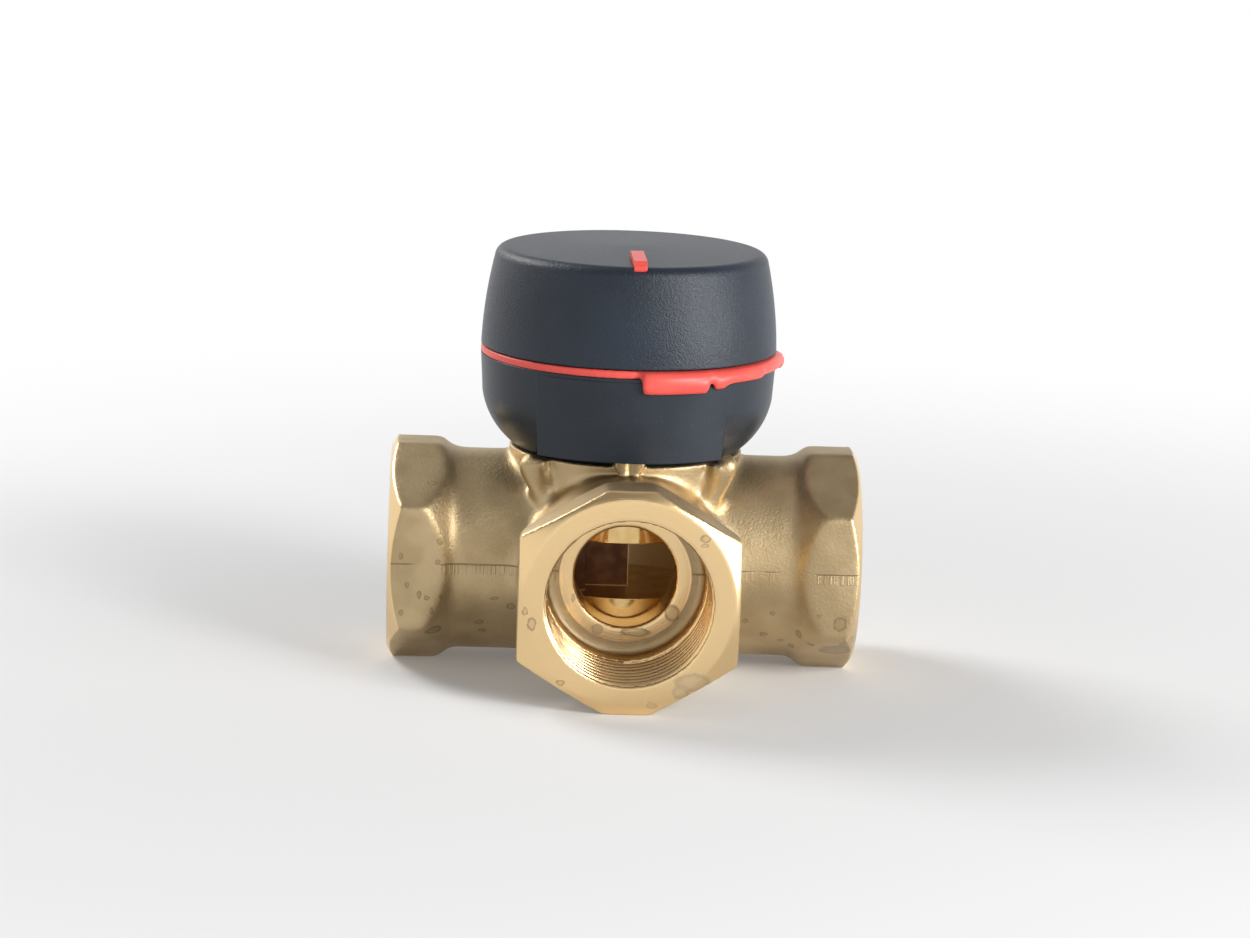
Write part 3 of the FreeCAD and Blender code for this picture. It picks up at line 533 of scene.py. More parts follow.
# %% Water spots and films
WATER_SPOTS = [
    # across and down in the picture, half the height in millimetres, width as a share of the height
    (573, 598, 0.70, 0.5), (672, 613, 1.40, 0.9), (635, 632, 0.75, 3.4), (525, 611, 0.70, 0.6),
    (532, 624, 1.15, 0.6), (560, 683, 0.45, 1.6), (706, 539, 0.60, 1.5), (705, 546, 0.35, 1.5),
    (440, 542, 0.60, 0.8), (401, 556, 0.55, 0.8), (438, 562, 0.42, 1.0), (407, 585, 0.45, 1.0),
    (419, 595, 0.60, 0.6), (427, 598, 0.35, 1.3), (441, 597, 0.45, 0.8), (432, 611, 0.60, 0.7),
    (401, 613, 0.45, 1.0), (434, 630, 0.75, 2.2), (511, 606, 0.60, 1.2), (479, 622, 0.50, 1.3),
    (482, 630, 0.35, 1.7), (495, 598, 0.40, 1.6), (432, 483, 0.35, 2.2), (799, 634, 1.00, 0.6),
    (791, 645, 0.65, 0.9), (763, 634, 0.42, 1.6), (780, 640, 0.30, 1.6), (840, 624, 1.25, 0.9),
    (819, 616, 0.35, 1.0), (772, 613, 0.45, 1.0), (745, 621, 0.60, 0.8), (810, 645, 0.35, 2.0),
]
BLUE_FILM = [
    (693, 683, 1.5, 2.0), (681, 692, 1.2, 1.2), (836, 650, 1.9, 1.5), (848, 645, 1.6, 1.0),
    (783, 655, 1.3, 1.0), (652, 706, 0.6, 1.6), (597, 629, 0.9, 1.1),
]


def found_marks(marks):
    """The marks that hit the brass, as (point in millimetres, radius, width)."""
    hits = [(under_picture(search, across, down), radius, width) for across, down, radius, width in marks]
    return [(point / MM, radius, width) for point, radius, width in hits if point is not None]


water_spots = found_marks(WATER_SPOTS)
blue_film = found_marks(BLUE_FILM)
print("water spots on the brass:", len(water_spots), "and films:", len(blue_film))

# %% [markdown]
# ## Effects that several finishes share
# Grain, rounded edges, which carry wear and a painted highlight, turning marks and moulded texture come
# back in several materials. Each is a small group of shader nodes with named inputs, so that it is made
# once and every material sets its own sizes. All of them work in millimetres: the object's coordinates are
# multiplied by a thousand first, so that a size can be written as it is.

# %% Helper that makes a group
def new_group(name, inputs, outputs):
    """An empty shader group; gives the group, its inlet's outputs and its outlet."""
    group = bpy.data.node_groups.new(name, "ShaderNodeTree")
    for label, kind in inputs.items():
        group.interface.new_socket(label, in_out="INPUT", socket_type=kind)
    for label, kind in outputs.items():
        group.interface.new_socket(label, in_out="OUTPUT", socket_type=kind)
    return group, put(group, "NodeGroupInput").outputs, put(group, "NodeGroupOutput").inputs


def use(tree, group, inputs):
    """Places a group in a material and gives its outputs."""
    return put(tree, "ShaderNodeGroup", {"node_tree": group}, inputs).outputs


VECTOR = "NodeSocketVector"
print("group helpers ready")

# %% Grain of a forged or moulded skin
GRAIN_DETAIL = 3.0
GRAIN_ROUGHNESS = 0.6
PATCH_DETAIL = 2.0
PATCH_FADE = (0.35, 0.65)


def make_skin_grain():
    """Fine bumps of a given size, and broad patches that are many times larger."""
    sizes = {"Place": VECTOR, "Size": NUMBER, "Patch size": NUMBER}
    group, inlet, outlet = new_group("skin grain", sizes, {"Height": NUMBER, "Patches": NUMBER})
    fine = put(group, "ShaderNodeTexNoise", inputs={
        "Vector": inlet["Place"],
        "Scale": calc(group, "DIVIDE", 1.0, inlet["Size"]),
        "Detail": GRAIN_DETAIL,
        "Roughness": GRAIN_ROUGHNESS,
    })
    broad = put(group, "ShaderNodeTexNoise", inputs={
        "Vector": inlet["Place"],
        "Scale": calc(group, "DIVIDE", 1.0, inlet["Patch size"]),
        "Detail": PATCH_DETAIL,
    })
    feed(group, outlet["Height"], fine.outputs["Fac"])
    feed(group, outlet["Patches"], soft_step(group, broad.outputs["Fac"], *PATCH_FADE))
    return group


skin_grain = make_skin_grain()
print("made", skin_grain.name)

# %% Rounded edges, and their mask for wear and painted highlights
BEVEL_SAMPLES = 6
# how far the rounded normal leans away where an edge starts to show, and where it shows fully
EDGE_FADE = (0.03, 0.16)


def make_rounded_edge():
    """A normal that rounds each edge, and a mask that is 1 on the edge itself."""
    group, inlet, outlet = new_group("rounded edge", {"Radius": NUMBER}, {"Normal": VECTOR, "Edge": NUMBER})
    metres = calc(group, "MULTIPLY", inlet["Radius"], MM)
    rounded = put(group, "ShaderNodeBevel", {"samples": BEVEL_SAMPLES}, {"Radius": metres}).outputs[0]
    flat = put(group, "ShaderNodeNewGeometry").outputs["Normal"]
    alike = calc_vector(group, "DOT_PRODUCT", rounded, flat).outputs["Value"]
    feed(group, outlet["Normal"], rounded)
    feed(group, outlet["Edge"], soft_step(group, calc(group, "SUBTRACT", 1.0, alike), *EDGE_FADE))
    return group


rounded_edge = make_rounded_edge()
print("made", rounded_edge.name)

# %% Turned surfaces of the ports
# in millimetres, along a port's axis from the middle of the valve, or away from that axis
CHAMFER_START = 15.6
CHAMFER_SLOPE = math.tan(math.radians(30))
FACE_FADE = (-0.22, -0.06)
BORE_LIMIT = 13.7
THROAT_LIMIT = 10.0
SHOULDER = 19.0
CHAMBER_LIMIT = 12.7
BORE_STARTS = CHAMBER_LIMIT - 4
ROOT_FADE = (12.7, 13.15)


def make_turned_faces():
    """Masks of what a lathe has cut, of the chamber and of the thread's root, and the height of the rings."""
    group, inlet, outlet = new_group(
        "turned faces", {"Place": VECTOR, "Face": NUMBER, "Ring size": NUMBER},
        {"Mask": NUMBER, "Rings": NUMBER, "Chamber": NUMBER, "Root": NUMBER})
    parts = put(group, "ShaderNodeSeparateXYZ", inputs={0: inlet["Place"]}).outputs
    side = calc(group, "ABSOLUTE", parts["X"])
    front = calc(group, "MULTIPLY", parts["Y"], -1.0)
    masks = []
    rings = []
    roots = []
    for along, across in ((side, parts["Y"]), (front, parts["X"])):
        radius = hypotenuse(group, across, parts["Z"])
        beyond = calc(group, "MAXIMUM", calc(group, "SUBTRACT", radius, CHAMFER_START), 0.0)
        past = calc(group, "MULTIPLY_ADD", beyond, CHAMFER_SLOPE, along)
        face = soft_step(group, calc(group, "SUBTRACT", past, inlet["Face"]), *FACE_FADE)
        reach = between(group, calc(group, "GREATER_THAN", along, SHOULDER), THROAT_LIMIT, BORE_LIMIT)
        narrow = calc(group, "LESS_THAN", radius, reach)
        bore = calc(group, "MULTIPLY", narrow, calc(group, "GREATER_THAN", along, BORE_STARTS))
        near = calc(group, "GREATER_THAN", along, CHAMBER_LIMIT)
        masks.append(calc(group, "MAXIMUM", calc(group, "MULTIPLY", face, near), bore))
        step = put(group, "ShaderNodeCombineXYZ", inputs={0: radius, 1: along})
        noise = put(group, "ShaderNodeTexNoise", {"noise_dimensions": "2D"}, {
            "Vector": step.outputs[0],
            "Scale": calc(group, "DIVIDE", 1.0, inlet["Ring size"]),
            "Detail": 1.0,
        })
        rings.append(calc(group, "MULTIPLY", noise.outputs["Fac"], masks[-1]))
        land_ends = calc(group, "SUBTRACT", inlet["Face"], LAND_DEPTH / MM)
        behind_land = calc(group, "LESS_THAN", along, land_ends)
        deep = calc(group, "MULTIPLY", soft_step(group, radius, *ROOT_FADE), behind_land)
        roots.append(calc(group, "MULTIPLY", deep, bore))
    middle = hypotenuse(group, parts["X"], parts["Y"])
    chamber = calc(group, "LESS_THAN", middle, CHAMBER_LIMIT)
    mask = calc(group, "MAXIMUM", calc(group, "MAXIMUM", masks[0], masks[1]), chamber)
    feed(group, outlet["Mask"], mask)
    feed(group, outlet["Chamber"], chamber)
    feed(group, outlet["Root"], calc(group, "MAXIMUM", roots[0], roots[1]))
    feed(group, outlet["Rings"], calc(group, "ADD", rings[0], rings[1]))
    return group


turned_faces = make_turned_faces()
print("made", turned_faces.name)

# %% A single dried drop
# shares of the drop's radius: where it ends, and where its dark rim begins
DROP_FADE = (0.78, 1.05)
RIM_FADE = (0.45, 0.92)


def make_dried_drop():
    """A spot with a darker rim, as a drop leaves when it dries."""
    group, inlet, outlet = new_group(
        "dried drop", {"Place": VECTOR, "Centre": VECTOR, "Radius": NUMBER, "Squeeze": VECTOR},
        {"Rim": NUMBER, "Inside": NUMBER})
    offset = calc_vector(group, "SUBTRACT", inlet["Place"], inlet["Centre"]).outputs[0]
    squeezed = calc_vector(group, "MULTIPLY", offset, inlet["Squeeze"]).outputs[0]
    away = calc_vector(group, "LENGTH", squeezed).outputs["Value"]
    share = calc(group, "DIVIDE", away, inlet["Radius"])
    inside = soft_drop(group, share, *DROP_FADE)
    hollow = soft_step(group, share, *RIM_FADE)
    feed(group, outlet["Rim"], calc(group, "MULTIPLY", inside, hollow))
    feed(group, outlet["Inside"], inside)
    return group


dried_drop = make_dried_drop()


def drops(tree, place, marks):
    """Lays every mark of a list on the surface; gives the masks of their rims and insides."""
    rim, inside = 0.0, 0.0
    for centre, radius, width in marks:
        squeeze = (1 / width, 1 / width, 1)
        drop = use(tree, dried_drop, {
            "Place": place, "Centre": centre, "Radius": radius, "Squeeze": squeeze,
        })
        rim = calc(tree, "MAXIMUM", drop["Rim"], rim)
        inside = calc(tree, "MAXIMUM", drop["Inside"], inside)
    return rim, inside


print("made", dried_drop.name)

# %% Helper that starts a material
def new_finish(name, **constants):
    """A material with a Principled shader; gives it, its tree, the shader and the place in millimetres."""
    material = bpy.data.materials.new(name)
    material.use_nodes = True
    tree = material.node_tree
    shader = tree.nodes["Principled BSDF"]
    for label, value in constants.items():
        shader.inputs[label.replace("_", " ")].default_value = value
    place = put(tree, "ShaderNodeTexCoord").outputs["Object"]
    millimetres = put(tree, "ShaderNodeVectorMath", {"operation": "SCALE"}, {0: place, "Scale": 1 / MM})
    return material, tree, shader, millimetres.outputs[0]


def bump(tree, shader, height, depth, normal):
    """Raises the surface by height times depth, which is in millimetres."""
    made = put(tree, "ShaderNodeBump", inputs={
        "Height": height, "Distance": depth * MM, "Strength": 1.0, "Normal": normal,
    })
    feed(tree, shader.inputs["Normal"], made.outputs[0])


print("material helpers ready")

# %% [markdown]
# ## Forged and turned brass
# The forging is olive and a little matt, with a grain from the blasted die. Where a lathe has cut it, at
# the faces, the bores and the chamber, it is yellower and smoother, with fine rings. The chamber is painted
# paler still. This is painted light, for the light that reaches it through the ports. Two materials could
# do this, but the faces would have to be split where the lathe stopped. One material does both, because it
# is one piece of metal: a mask worked out from the distance to each port's axis says where the lathe has
# been.
# The parting line of the forging runs round the middle and shows fine upright file marks.

# %% The parting line
# in millimetres: half the height of the filed band, and how softly its line and its edges fade
PARTING_HALF_HEIGHT = 0.75
LINE_FADE = (0.04, 0.14)
BAND_FADE = 0.1
# noise values between which the marks, and the stretches that have any, fade in
MARK_FADE = (0.5, 0.62)
STRETCH_FADE = (0.42, 0.55)


def parting_line(tree, place):
    """The upper line of the trimmed flash, and the file marks below it, in places only."""
    parts = put(tree, "ShaderNodeSeparateXYZ", inputs={0: place}).outputs
    line = calc(tree, "ABSOLUTE", calc(tree, "SUBTRACT", parts["Z"], PARTING_HALF_HEIGHT))
    line = soft_drop(tree, line, *LINE_FADE)
    height = calc(tree, "ABSOLUTE", parts["Z"])
    band = soft_drop(tree, height, PARTING_HALF_HEIGHT - BAND_FADE, PARTING_HALF_HEIGHT)
    upright = put(tree, "ShaderNodeCombineXYZ", inputs={0: parts["X"], 1: parts["Y"]}).outputs[0]
    marks = put(tree, "ShaderNodeTexNoise", inputs={"Vector": upright, "Scale": 2.2, "Detail": 2.0})
    broken = put(tree, "ShaderNodeTexNoise", inputs={"Vector": upright, "Scale": 0.16, "Detail": 1.0})
    there = soft_step(tree, broken.outputs["Fac"], *STRETCH_FADE)
    ticks = calc(tree, "MULTIPLY", soft_step(tree, marks.outputs["Fac"], *MARK_FADE), band)
    return calc(tree, "MULTIPLY", line, there), calc(tree, "MULTIPLY", ticks, there)


print("parting line at", PARTING_HALF_HEIGHT, "mm")

# %% Colours and amounts of the forged brass
FORGED_LIGHT = colour(196, 174, 136)
FORGED_DARK = colour(180, 158, 121)
TURNED = colour(238, 206, 154)
# paler brass on the edges: partly wear, partly a painted highlight
EDGE_WEAR_AND_HIGHLIGHT = colour(255, 222, 168)
DRIED = colour(120, 104, 78)
BLUE = colour(132, 138, 138)
ROOT_BROWN = colour(132, 92, 50)
# painted light: the chamber is painted near white, for the light that reaches it through the ports
CHAMBER_PAINTED_LIGHT = colour(255, 230, 180)
# how strongly each thing covers the brass
ROOT_COVER = 0.7
EDGE_WEAR_AND_HIGHLIGHT_COVER = 0.25
LINE_COVER = 0.5
RIM_COVER = 0.62
DROP_COVER = 0.22
FILM_COVER = 0.28
FILM_RIM_COVER = 0.22
# roughness, and what the drops and films add to it
FORGED_ROUGHNESS = (0.38, 0.54)
TURNED_ROUGHNESS = 0.24
CHAMBER_ROUGHNESS = 0.58
DROP_ROUGHENS = 0.10
FILM_ROUGHENS = 0.16
# the depth of the forged grain in millimetres, and the heights of the rest as shares of it
FORGED_BUMP_DEPTH = 0.06
TICK_HEIGHT = 0.8
LINE_HEIGHT = -1.2
RING_HEIGHT = 0.25
# how far the outlines of drops and films waver, in millimetres
WAVER = 0.7
print("forged skin between", [round(part, 2) for part in FORGED_DARK[:3]], "and",
      [round(part, 2) for part in FORGED_LIGHT[:3]])

# %% Forged brass
def make_forged_brass():
    """The brass of the valve's body, both as forged and as turned."""
    material, tree, shader, place = new_finish("forged_brass", Metallic=1.0)
    grain = use(tree, skin_grain, {"Place": place, "Size": 0.45, "Patch size": 7.0})
    edge = use(tree, rounded_edge, {"Radius": 0.4})
    turned = use(tree, turned_faces, {"Place": place, "Face": PORT_FACE / MM, "Ring size": 0.16})
    wobble = put(tree, "ShaderNodeTexNoise", inputs={"Vector": place, "Scale": 1.3, "Detail": 2.0})
    push = calc_vector(tree, "MULTIPLY_ADD", wobble.outputs["Color"], 3 * (WAVER,), place)
    shaken = calc_vector(tree, "SUBTRACT", push.outputs[0], 3 * (WAVER / 2,)).outputs[0]
    rim, inside = drops(tree, shaken, water_spots)
    film_rim, film = drops(tree, shaken, blue_film)
    line, ticks = parting_line(tree, place)
    forged = calc(tree, "SUBTRACT", 1.0, turned["Mask"])

    paint = blend(tree, grain["Patches"], FORGED_DARK, FORGED_LIGHT)
    paint = blend(tree, turned["Mask"], paint, TURNED)
    paint = cover(tree, paint, turned["Root"], ROOT_COVER, ROOT_BROWN)
    # paler edges: partly wear, partly a painted highlight
    paint = cover(tree, paint, calc(tree, "MULTIPLY", edge["Edge"], forged), EDGE_WEAR_AND_HIGHLIGHT_COVER, EDGE_WEAR_AND_HIGHLIGHT)
    paint = cover(tree, paint, calc(tree, "MULTIPLY", line, forged), LINE_COVER, DRIED)
    paint = cover(tree, paint, rim, RIM_COVER, DRIED)
    paint = cover(tree, paint, inside, DROP_COVER, DRIED)
    paint = cover(tree, paint, film, FILM_COVER, BLUE)
    paint = cover(tree, paint, film_rim, FILM_RIM_COVER, DRIED)
    # painted light: the chamber is painted near white, for the light that reaches it through the ports
    paint = blend(tree, turned["Chamber"], paint, CHAMBER_PAINTED_LIGHT)
    feed(tree, shader.inputs["Base Color"], paint)

    rough = between(tree, grain["Height"], *FORGED_ROUGHNESS)
    rough = between(tree, turned["Mask"], rough, TURNED_ROUGHNESS)
    rough = between(tree, turned["Chamber"], rough, CHAMBER_ROUGHNESS)
    rough = calc(tree, "MULTIPLY_ADD", inside, DROP_ROUGHENS, rough)
    rough = calc(tree, "MULTIPLY_ADD", film, FILM_ROUGHENS, rough, clamp=True)
    feed(tree, shader.inputs["Roughness"], rough)

    pits = calc(tree, "MULTIPLY", grain["Height"], forged)
    pits = calc(tree, "MULTIPLY_ADD", calc(tree, "MULTIPLY", ticks, forged), TICK_HEIGHT, pits)
    pits = calc(tree, "MULTIPLY_ADD", calc(tree, "MULTIPLY", line, forged), LINE_HEIGHT, pits)
    pits = calc(tree, "MULTIPLY_ADD", turned["Rings"], RING_HEIGHT, pits)
    bump(tree, shader, pits, FORGED_BUMP_DEPTH, edge["Normal"])
    return material


forged_brass = make_forged_brass()
print("forged brass has", len(forged_brass.node_tree.nodes), "nodes")

# %% [markdown]
# ## Rotor brass
# The rims and one side of the rotor are machined, so they are brighter and smoother than the forging. The
# rest of its window is dark brown. The rotor is seen through the front port only, where its rims show
# broad bands of reflected light. Such bands needn't be painted: a low roughness with fine turning lines
# makes them out of the lamps, and a mask by height and depth keeps the dark brown part dull.

# %% Rotor brass
ROTOR_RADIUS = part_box("rotor")[1].x / MM
ROTOR_LIGHT = colour(234, 202, 146)
ROTOR_DARK = colour(222, 186, 124)
# the dark brown that covers the rest of the window
WINDOW_BROWN_LIGHT = colour(92, 62, 42)
WINDOW_BROWN_DARK = colour(70, 44, 30)
# in millimetres: the window between the rims, where its milled side begins, and where the dark brown fades in
WINDOW_LOW = -4.8
WINDOW_HIGH = 3.8
MILLED_SIDE = 0.9
BROWN_STARTS = 0.02
BROWN_FULL = 0.1
# the turning lines are long across the axis and fine along it
LINE_STRETCH = (0.4, 0.4, 7.0)
RIM_ROUGHNESS = (0.08, 0.15)
MILLED_ROUGHNESS = 0.35
WINDOW_BROWN_ROUGHNESS = 0.34
# how strongly the rotor's edges take the paler colour of wear and painted highlight
ROTOR_EDGE_WEAR_AND_HIGHLIGHT_COVER = 0.1
ROTOR_BUMP_DEPTH = 0.02
TURNING_LINE_HEIGHT = 0.15


def make_rotor_brass():
    """Polished rims and a milled side, and dark brown on the rest of the window."""
    material, tree, shader, place = new_finish("rotor_brass", Metallic=1.0)
    grain = use(tree, skin_grain, {"Place": place, "Size": 0.35, "Patch size": 3.0})
    edge = use(tree, rounded_edge, {"Radius": 0.2})
    parts = put(tree, "ShaderNodeSeparateXYZ", inputs={0: place}).outputs
    away = hypotenuse(tree, parts["X"], parts["Y"])
    within = calc(tree, "LESS_THAN", away, ROTOR_RADIUS - BROWN_FULL)
    above = soft_step(tree, parts["Z"], WINDOW_LOW + BROWN_STARTS, WINDOW_LOW + BROWN_FULL)
    below = soft_drop(tree, parts["Z"], WINDOW_HIGH - BROWN_FULL, WINDOW_HIGH - BROWN_STARTS)
    unmilled = calc(tree, "LESS_THAN", parts["X"], MILLED_SIDE)
    inner = calc(tree, "MULTIPLY", within, unmilled)
    dark_window = calc(tree, "MULTIPLY", inner, calc(tree, "MULTIPLY", above, below))
    stretched = calc_vector(tree, "MULTIPLY", place, LINE_STRETCH).outputs[0]
    lines = put(tree, "ShaderNodeTexNoise", inputs={"Vector": stretched, "Scale": 1.0, "Detail": 3.0})
    bright = blend(tree, grain["Patches"], ROTOR_DARK, ROTOR_LIGHT)
    # paler edges: partly wear, partly a painted highlight
    bright = cover(tree, bright, edge["Edge"], ROTOR_EDGE_WEAR_AND_HIGHLIGHT_COVER, EDGE_WEAR_AND_HIGHLIGHT)
    # dark brown over the rest of the window
    brown = blend(tree, grain["Patches"], WINDOW_BROWN_DARK, WINDOW_BROWN_LIGHT)
    feed(tree, shader.inputs["Base Color"], blend(tree, dark_window, bright, brown))
    polished = between(tree, lines.outputs["Fac"], *RIM_ROUGHNESS)
    machined = between(tree, within, polished, MILLED_ROUGHNESS)
    feed(tree, shader.inputs["Roughness"], between(tree, dark_window, machined, WINDOW_BROWN_ROUGHNESS))
    ripple = calc(tree, "MULTIPLY", lines.outputs["Fac"], TURNING_LINE_HEIGHT)
    relief = between(tree, dark_window, ripple, grain["Height"])
    bump(tree, shader, relief, ROTOR_BUMP_DEPTH, edge["Normal"])
    return material


rotor_brass = make_rotor_brass()
print("made", rotor_brass.name)

# %% [markdown]
# ## Moulded plastics, rubber and steel
# Knob, collar and scale ring come from spark-eroded moulds, which leave an even fine texture. An image of
# it would blur close up and show its seams, so noise in real millimetres raises the skin instead. The
# pieces share one function, since they differ only in colour, gloss and depth of texture. The inner pieces
# get plain finishes from the same function, and the springs and rings are of drawn steel.

# %% Moulded plastic
PLASTICS = {
    # name: (darker tone, lighter tone, roughness, then in millimetres texture size, its depth, edge radius)
    "knob_plastic": ((29, 37, 48), (34, 43, 55), 0.38, 0.32, 0.10, 0.35),
    "collar_plastic": ((31, 38, 47), (36, 43, 52), 0.38, 0.42, 0.02, 0.35),
    "red_plastic": ((234, 84, 76), (240, 92, 82), 0.34, 0.42, 0.003, 0.3),
    "composite": ((38, 35, 33), (46, 42, 39), 0.42, 0.42, 0.004, 0.35),
    "slide_plastic": ((214, 206, 188), (226, 219, 203), 0.38, 0.42, 0.003, 0.35),
    "seal_rubber": ((24, 24, 25), (31, 31, 32), 0.6, 0.42, 0.004, 0.35),
}
# noise heights between which the tips of the texture are painted pale as glints, and how pale they and the
# edges, painted pale as a highlight, get
GLINT_FADE = (0.60, 0.72)
PAINTED_GLINT_COVER = 0.35
PAINTED_EDGE_HIGHLIGHT_COVER = 0.12
PALER = 2.2
ROUGHNESS_SPREAD = 0.08


def make_moulded(name, dark, light, gloss, texture, depth, edge_radius):
    """Plastic from a spark-eroded mould: two close tones, fine texture with painted glints on its tips, and
    edges painted paler as a highlight.
    """
    material, tree, shader, place = new_finish(name, IOR=1.42)
    grain = use(tree, skin_grain, {"Place": place, "Size": texture, "Patch size": 9.0})
    edge = use(tree, rounded_edge, {"Radius": edge_radius})
    paint = blend(tree, grain["Patches"], dark, light)
    # painted glints: the tips of the texture are painted paler
    painted_glint = soft_step(tree, grain["Height"], *GLINT_FADE)
    paler = tuple(min(1, part * PALER) for part in light[:3]) + (1,)
    paint = cover(tree, paint, painted_glint, PAINTED_GLINT_COVER, paler)
    # painted highlight: the edges are painted paler
    paint = cover(tree, paint, edge["Edge"], PAINTED_EDGE_HIGHLIGHT_COVER, paler)
    feed(tree, shader.inputs["Base Color"], paint)
    rough = between(tree, grain["Height"], gloss - ROUGHNESS_SPREAD, gloss + ROUGHNESS_SPREAD)
    feed(tree, shader.inputs["Roughness"], rough)
    bump(tree, shader, grain["Height"], depth, edge["Normal"])
    return material


finishes = {"forged_brass": forged_brass, "rotor_brass": rotor_brass}
for name, (dark, light, *measures) in PLASTICS.items():
    finishes[name] = make_moulded(name, colour(*dark), colour(*light), *measures)
print("plastics:", len(PLASTICS))

# %% Spring steel
STEEL_LIGHT = colour(184, 186, 188)
STEEL_DARK = colour(150, 152, 155)
STEEL_ROUGHNESS = (0.24, 0.4)
STEEL_BUMP_DEPTH = 0.003


def make_spring_steel():
    """Stamped steel with a fine drawn grain."""
    material, tree, shader, place = new_finish("spring_steel", Metallic=1.0)
    grain = use(tree, skin_grain, {"Place": place, "Size": 0.12, "Patch size": 2.0})
    edge = use(tree, rounded_edge, {"Radius": 0.1})
    feed(tree, shader.inputs["Base Color"], blend(tree, grain["Patches"], STEEL_DARK, STEEL_LIGHT))
    feed(tree, shader.inputs["Roughness"], between(tree, grain["Height"], *STEEL_ROUGHNESS))
    bump(tree, shader, grain["Height"], STEEL_BUMP_DEPTH, edge["Normal"])
    return material


finishes["spring_steel"] = make_spring_steel()
print("made spring_steel")

# %% [markdown]
# ## Dress the pieces
# Each piece came with the name of its material slot, and every finish has the same name, so one loop
# dresses all.

# %% Give every piece its finish
for name, piece in nodes.items():
    for slot in piece.material_slots:
        slot.material = finishes[slot.material.name]
print("dressed", len(nodes), "pieces")

# %% [markdown]
# ## Soft edges of the forging and of the scale
# A forging has no sharp edge: the die is rounded so that the metal can flow, and blasting rounds what is
# left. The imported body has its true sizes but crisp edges. A Bevel modifier could round them, but it needs
# clean edges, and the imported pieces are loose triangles. A voxel remesh turns them into an even net
# instead, and some passes of smoothing round its edges by about a millimetre. What a lathe has cut gets few
# passes, so that it stays crisp, and the boss under the collar gets many, because its ribs flow into the
# necks. The remesh also melts into one skin what is added to the body before it. These are the lands at the
# mouths of the ports, and a soft ridge over each corner rib at the front, which leans outwards in the
# picture. The moulded wedge of the scale ring is softened in the same way.

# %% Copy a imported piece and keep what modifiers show
JOIN_DISTANCE = 0.001 * MM


def joined_copy(name, node_name, added):
    """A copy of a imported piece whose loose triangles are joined, with the added meshes."""
    net = bmesh.new()
    net.from_mesh(nodes[node_name].data)
    for mesh in added:
        net.from_mesh(mesh)
    bmesh.ops.remove_doubles(net, verts=net.verts, dist=JOIN_DISTANCE)
    mesh = bpy.data.meshes.new(name)
    net.to_mesh(mesh)
    net.free()
    piece = bpy.data.objects.new(name, mesh)
    bpy.context.scene.collection.objects.link(piece)
    return piece


def keep_result(piece):
    """Makes what the modifiers show the piece's own mesh, and removes them."""
    evaluated = piece.evaluated_get(bpy.context.evaluated_depsgraph_get())
    result = bpy.data.meshes.new_from_object(evaluated)
    piece.modifiers.clear()
    piece.data = result


print("joining corners nearer than", JOIN_DISTANCE / MM, "mm")

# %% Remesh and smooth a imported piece
SMOOTHING = 0.5


def soften(name, node_name, grid, rounds, most_triangles, added=()):
    """A remeshed stand-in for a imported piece; each round smooths by so many passes, weighted by place."""
    piece = joined_copy(name, node_name, added)
    remesh = piece.modifiers.new("even net", "REMESH")
    remesh.mode = "VOXEL"
    remesh.voxel_size = grid
    keep_result(piece)
    for passes, weight_at in rounds:
        group = piece.vertex_groups.new(name=weight_at.__name__)
        for vertex in piece.data.vertices:
            weight = weight_at(vertex.co / MM)
            if weight > 0:
                group.add([vertex.index], weight, "REPLACE")
        smooth = piece.modifiers.new(group.name, "SMOOTH")
        smooth.factor = SMOOTHING
        smooth.iterations = passes
        smooth.vertex_group = group.name
    thin_out = piece.modifiers.new("thin out", "DECIMATE")
    thin_out.ratio = min(1.0, most_triangles / (2 * len(piece.data.polygons)))
    keep_result(piece)
    piece.vertex_groups.clear()
    piece.data.shade_smooth()
    piece.data.materials.clear()
    piece.data.materials.append(nodes[node_name].material_slots[0].material)
    return piece


def everywhere(place):
    """The same weight all over."""
    return 1


print("softening helpers ready")

# %% Where the forging is smoothed
# in millimetres: the boss from its foot upwards, and the zone round the key that stays as it is
BOSS_FOOT = 6.0
BOSS_FADE = 3.0
BOSS_REACH = 27.0
KEY_ZONE = 3.4
FACE_MARGIN = 0.3
# in millimetres: the turned seat of the collar, which begins a little under the collar's foot
COLLAR_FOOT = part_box("collar")[0].z / MM
SEAT_MARGIN = 1.1
SEAT_FADE = 1.4
SEAT_REACH = 19.5


def limited(value):
    """The value, but not under 0 and not over 1."""
    return min(max(value, 0), 1)


def on_forged_skin(place):
    """1 on the forged skin, 0 where a lathe has cut."""
    for along, across in ((abs(place.x), place.y), (-place.y, place.x)):
        radius = math.hypot(across, place.z)
        past = along + CHAMFER_SLOPE * max(radius - CHAMFER_START, 0)
        reach = BORE_LIMIT if along > SHOULDER else THROAT_LIMIT
        if along > CHAMBER_LIMIT and (past > PORT_FACE / MM - FACE_MARGIN or radius < reach):
            return 0
    away = math.hypot(place.x, place.y)
    if away < CHAMBER_LIMIT:
        return 0
    if away >= SEAT_REACH:
        return 1
    return limited((COLLAR_FOOT - SEAT_MARGIN - place.z) / SEAT_FADE)


def on_boss(place):
    """1 on the flared boss under the collar, less towards the necks, and 0 at the key."""
    at_key = abs(place.x) < KEY_ZONE and place.y < 0
    if at_key or math.hypot(place.x, place.y) > BOSS_REACH:
        return 0
    return on_forged_skin(place) * limited((place.z - BOSS_FOOT) / BOSS_FADE)


print("collar's foot at", round(COLLAR_FOOT, 2), "mm")

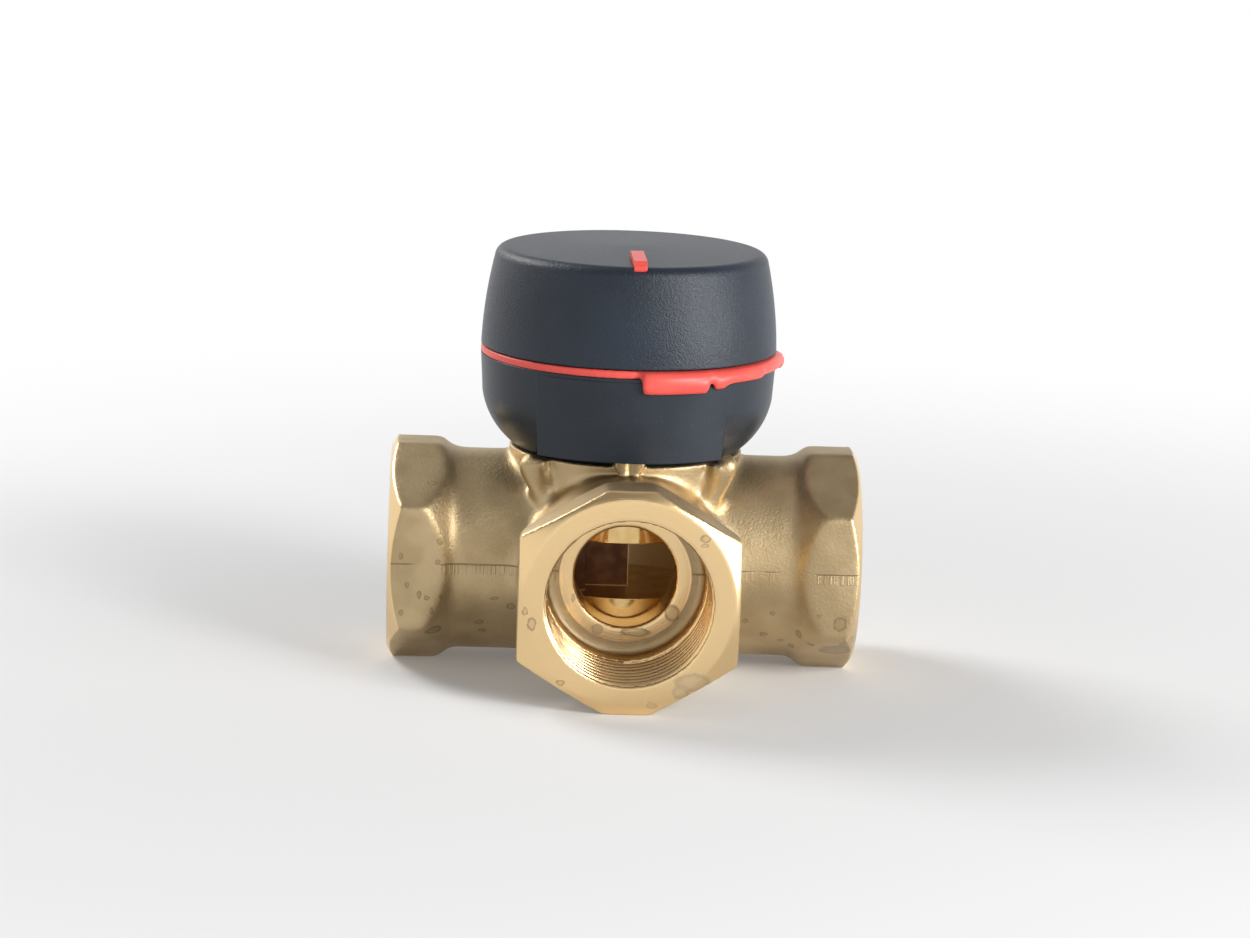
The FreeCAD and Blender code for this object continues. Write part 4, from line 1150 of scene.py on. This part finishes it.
# %% Ridges over the corner ribs
# the tip and the top of each rib, as places in the picture
RIB_LINES = (((547, 500), (529, 466)), ((708, 502), (728, 466)))
RIB_BEADS = 9
RIB_RADIUS = 2.0 * MM
RIB_SUNK = 1.2 * MM
BEAD_FINENESS = 2


def rib_places():
    """Places just under the brass, along each corner rib as the picture shows it."""
    places = []
    for tip, top in RIB_LINES:
        for step in range(RIB_BEADS):
            share = step / (RIB_BEADS - 1)
            pixel = [first + share * (last - first) for first, last in zip(tip, top)]
            hit = under_picture(search, *pixel)
            places.append(hit - RIB_SUNK * back)
    return places


def beads(name, places, radius):
    """Overlapping balls, which the remesh melts into one ridge."""
    net = bmesh.new()
    for place in places:
        spot = Matrix.Translation(place)
        bmesh.ops.create_icosphere(net, subdivisions=BEAD_FINENESS, radius=radius, matrix=spot)
    mesh = bpy.data.meshes.new(name)
    net.to_mesh(mesh)
    net.free()
    return mesh


ribs = beads("ribs", rib_places(), RIB_RADIUS)
print("ridges of", len(RIB_LINES) * RIB_BEADS, "balls, with", len(ribs.polygons), "faces")

# %% Lands at the mouths of the ports
def radii_in_right_port(piece):
    """The smallest and largest distance from the right port's axis, in millimetres."""
    corners = [vertex.co for vertex in piece.data.vertices if vertex.co.x > PORT_FACE / 2]
    radii = [math.hypot(corner.y, corner.z) / MM for corner in corners]
    return round(min(radii), 2), round(max(radii), 2)


lands = grow("port_lands", port_land, {
    "Face": PORT_FACE,
    "Crest radius": CREST_RADIUS,
    "Land radius": LAND_RADIUS,
    "Land depth": LAND_DEPTH,
    "Mouth radius": MOUTH_RADIUS,
    "Steps": 2 * THREAD_STEPS,
    "Material": forged_brass,
})
print("lands with radii of", radii_in_right_port(lands), "mm")

# %% The forged body
BODY_GRID = 0.3 * MM
BODY_TRIANGLES = 190000
BODY_ROUNDS = ((4, everywhere), (46, on_forged_skin), (75, on_boss))

additions = [lands.data, ribs]
body = soften("forged_body", "valve_body", BODY_GRID, BODY_ROUNDS, BODY_TRIANGLES, added=additions)
bpy.data.objects.remove(lands)
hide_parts("valve_body")
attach(body, "valve")
print("forged body:", len(body.data.polygons), "faces")

# %% The scale ring
KNOB_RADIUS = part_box("knob_cap")[1].x / MM
WEDGE_MARGIN = 0.4
RING_GRID = 0.25 * MM
RING_TRIANGLES = 150000


def on_wedge(place):
    """1 on the wedge, which stands out past the knob between the front and the right."""
    in_front = place.y < 0 and place.x > 0
    return 1 if in_front and math.hypot(place.x, place.y) > KNOB_RADIUS - WEDGE_MARGIN else 0


RING_ROUNDS = ((2, everywhere), (70, on_wedge))
ring = soften("moulded_scale_ring", "scale_ring", RING_GRID, RING_ROUNDS, RING_TRIANGLES)
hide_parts("scale_ring")
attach(ring, "valve")
print("scale ring:", len(ring.data.polygons), "faces")

# %% Cut the threads
threads = grow("port_threads", port_thread, {
    "Wall radius": THREAD_RADIUS + SUNK,
    "Depth": THREAD_RADIUS - CREST_RADIUS + SUNK,
    "Pitch": THREAD_PITCH,
    "Length": THREAD_LENGTH,
    "Start": PORT_FACE - THREAD_LEAD_IN - THREAD_LENGTH,
    "Crest rounding": CREST_ROUNDING,
    "Steps": THREAD_STEPS,
    "Material": forged_brass,
})
clean(threads)
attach(threads, "valve")
print("thread faces:", len(threads.data.polygons), "with radii of", radii_in_right_port(threads), "mm")
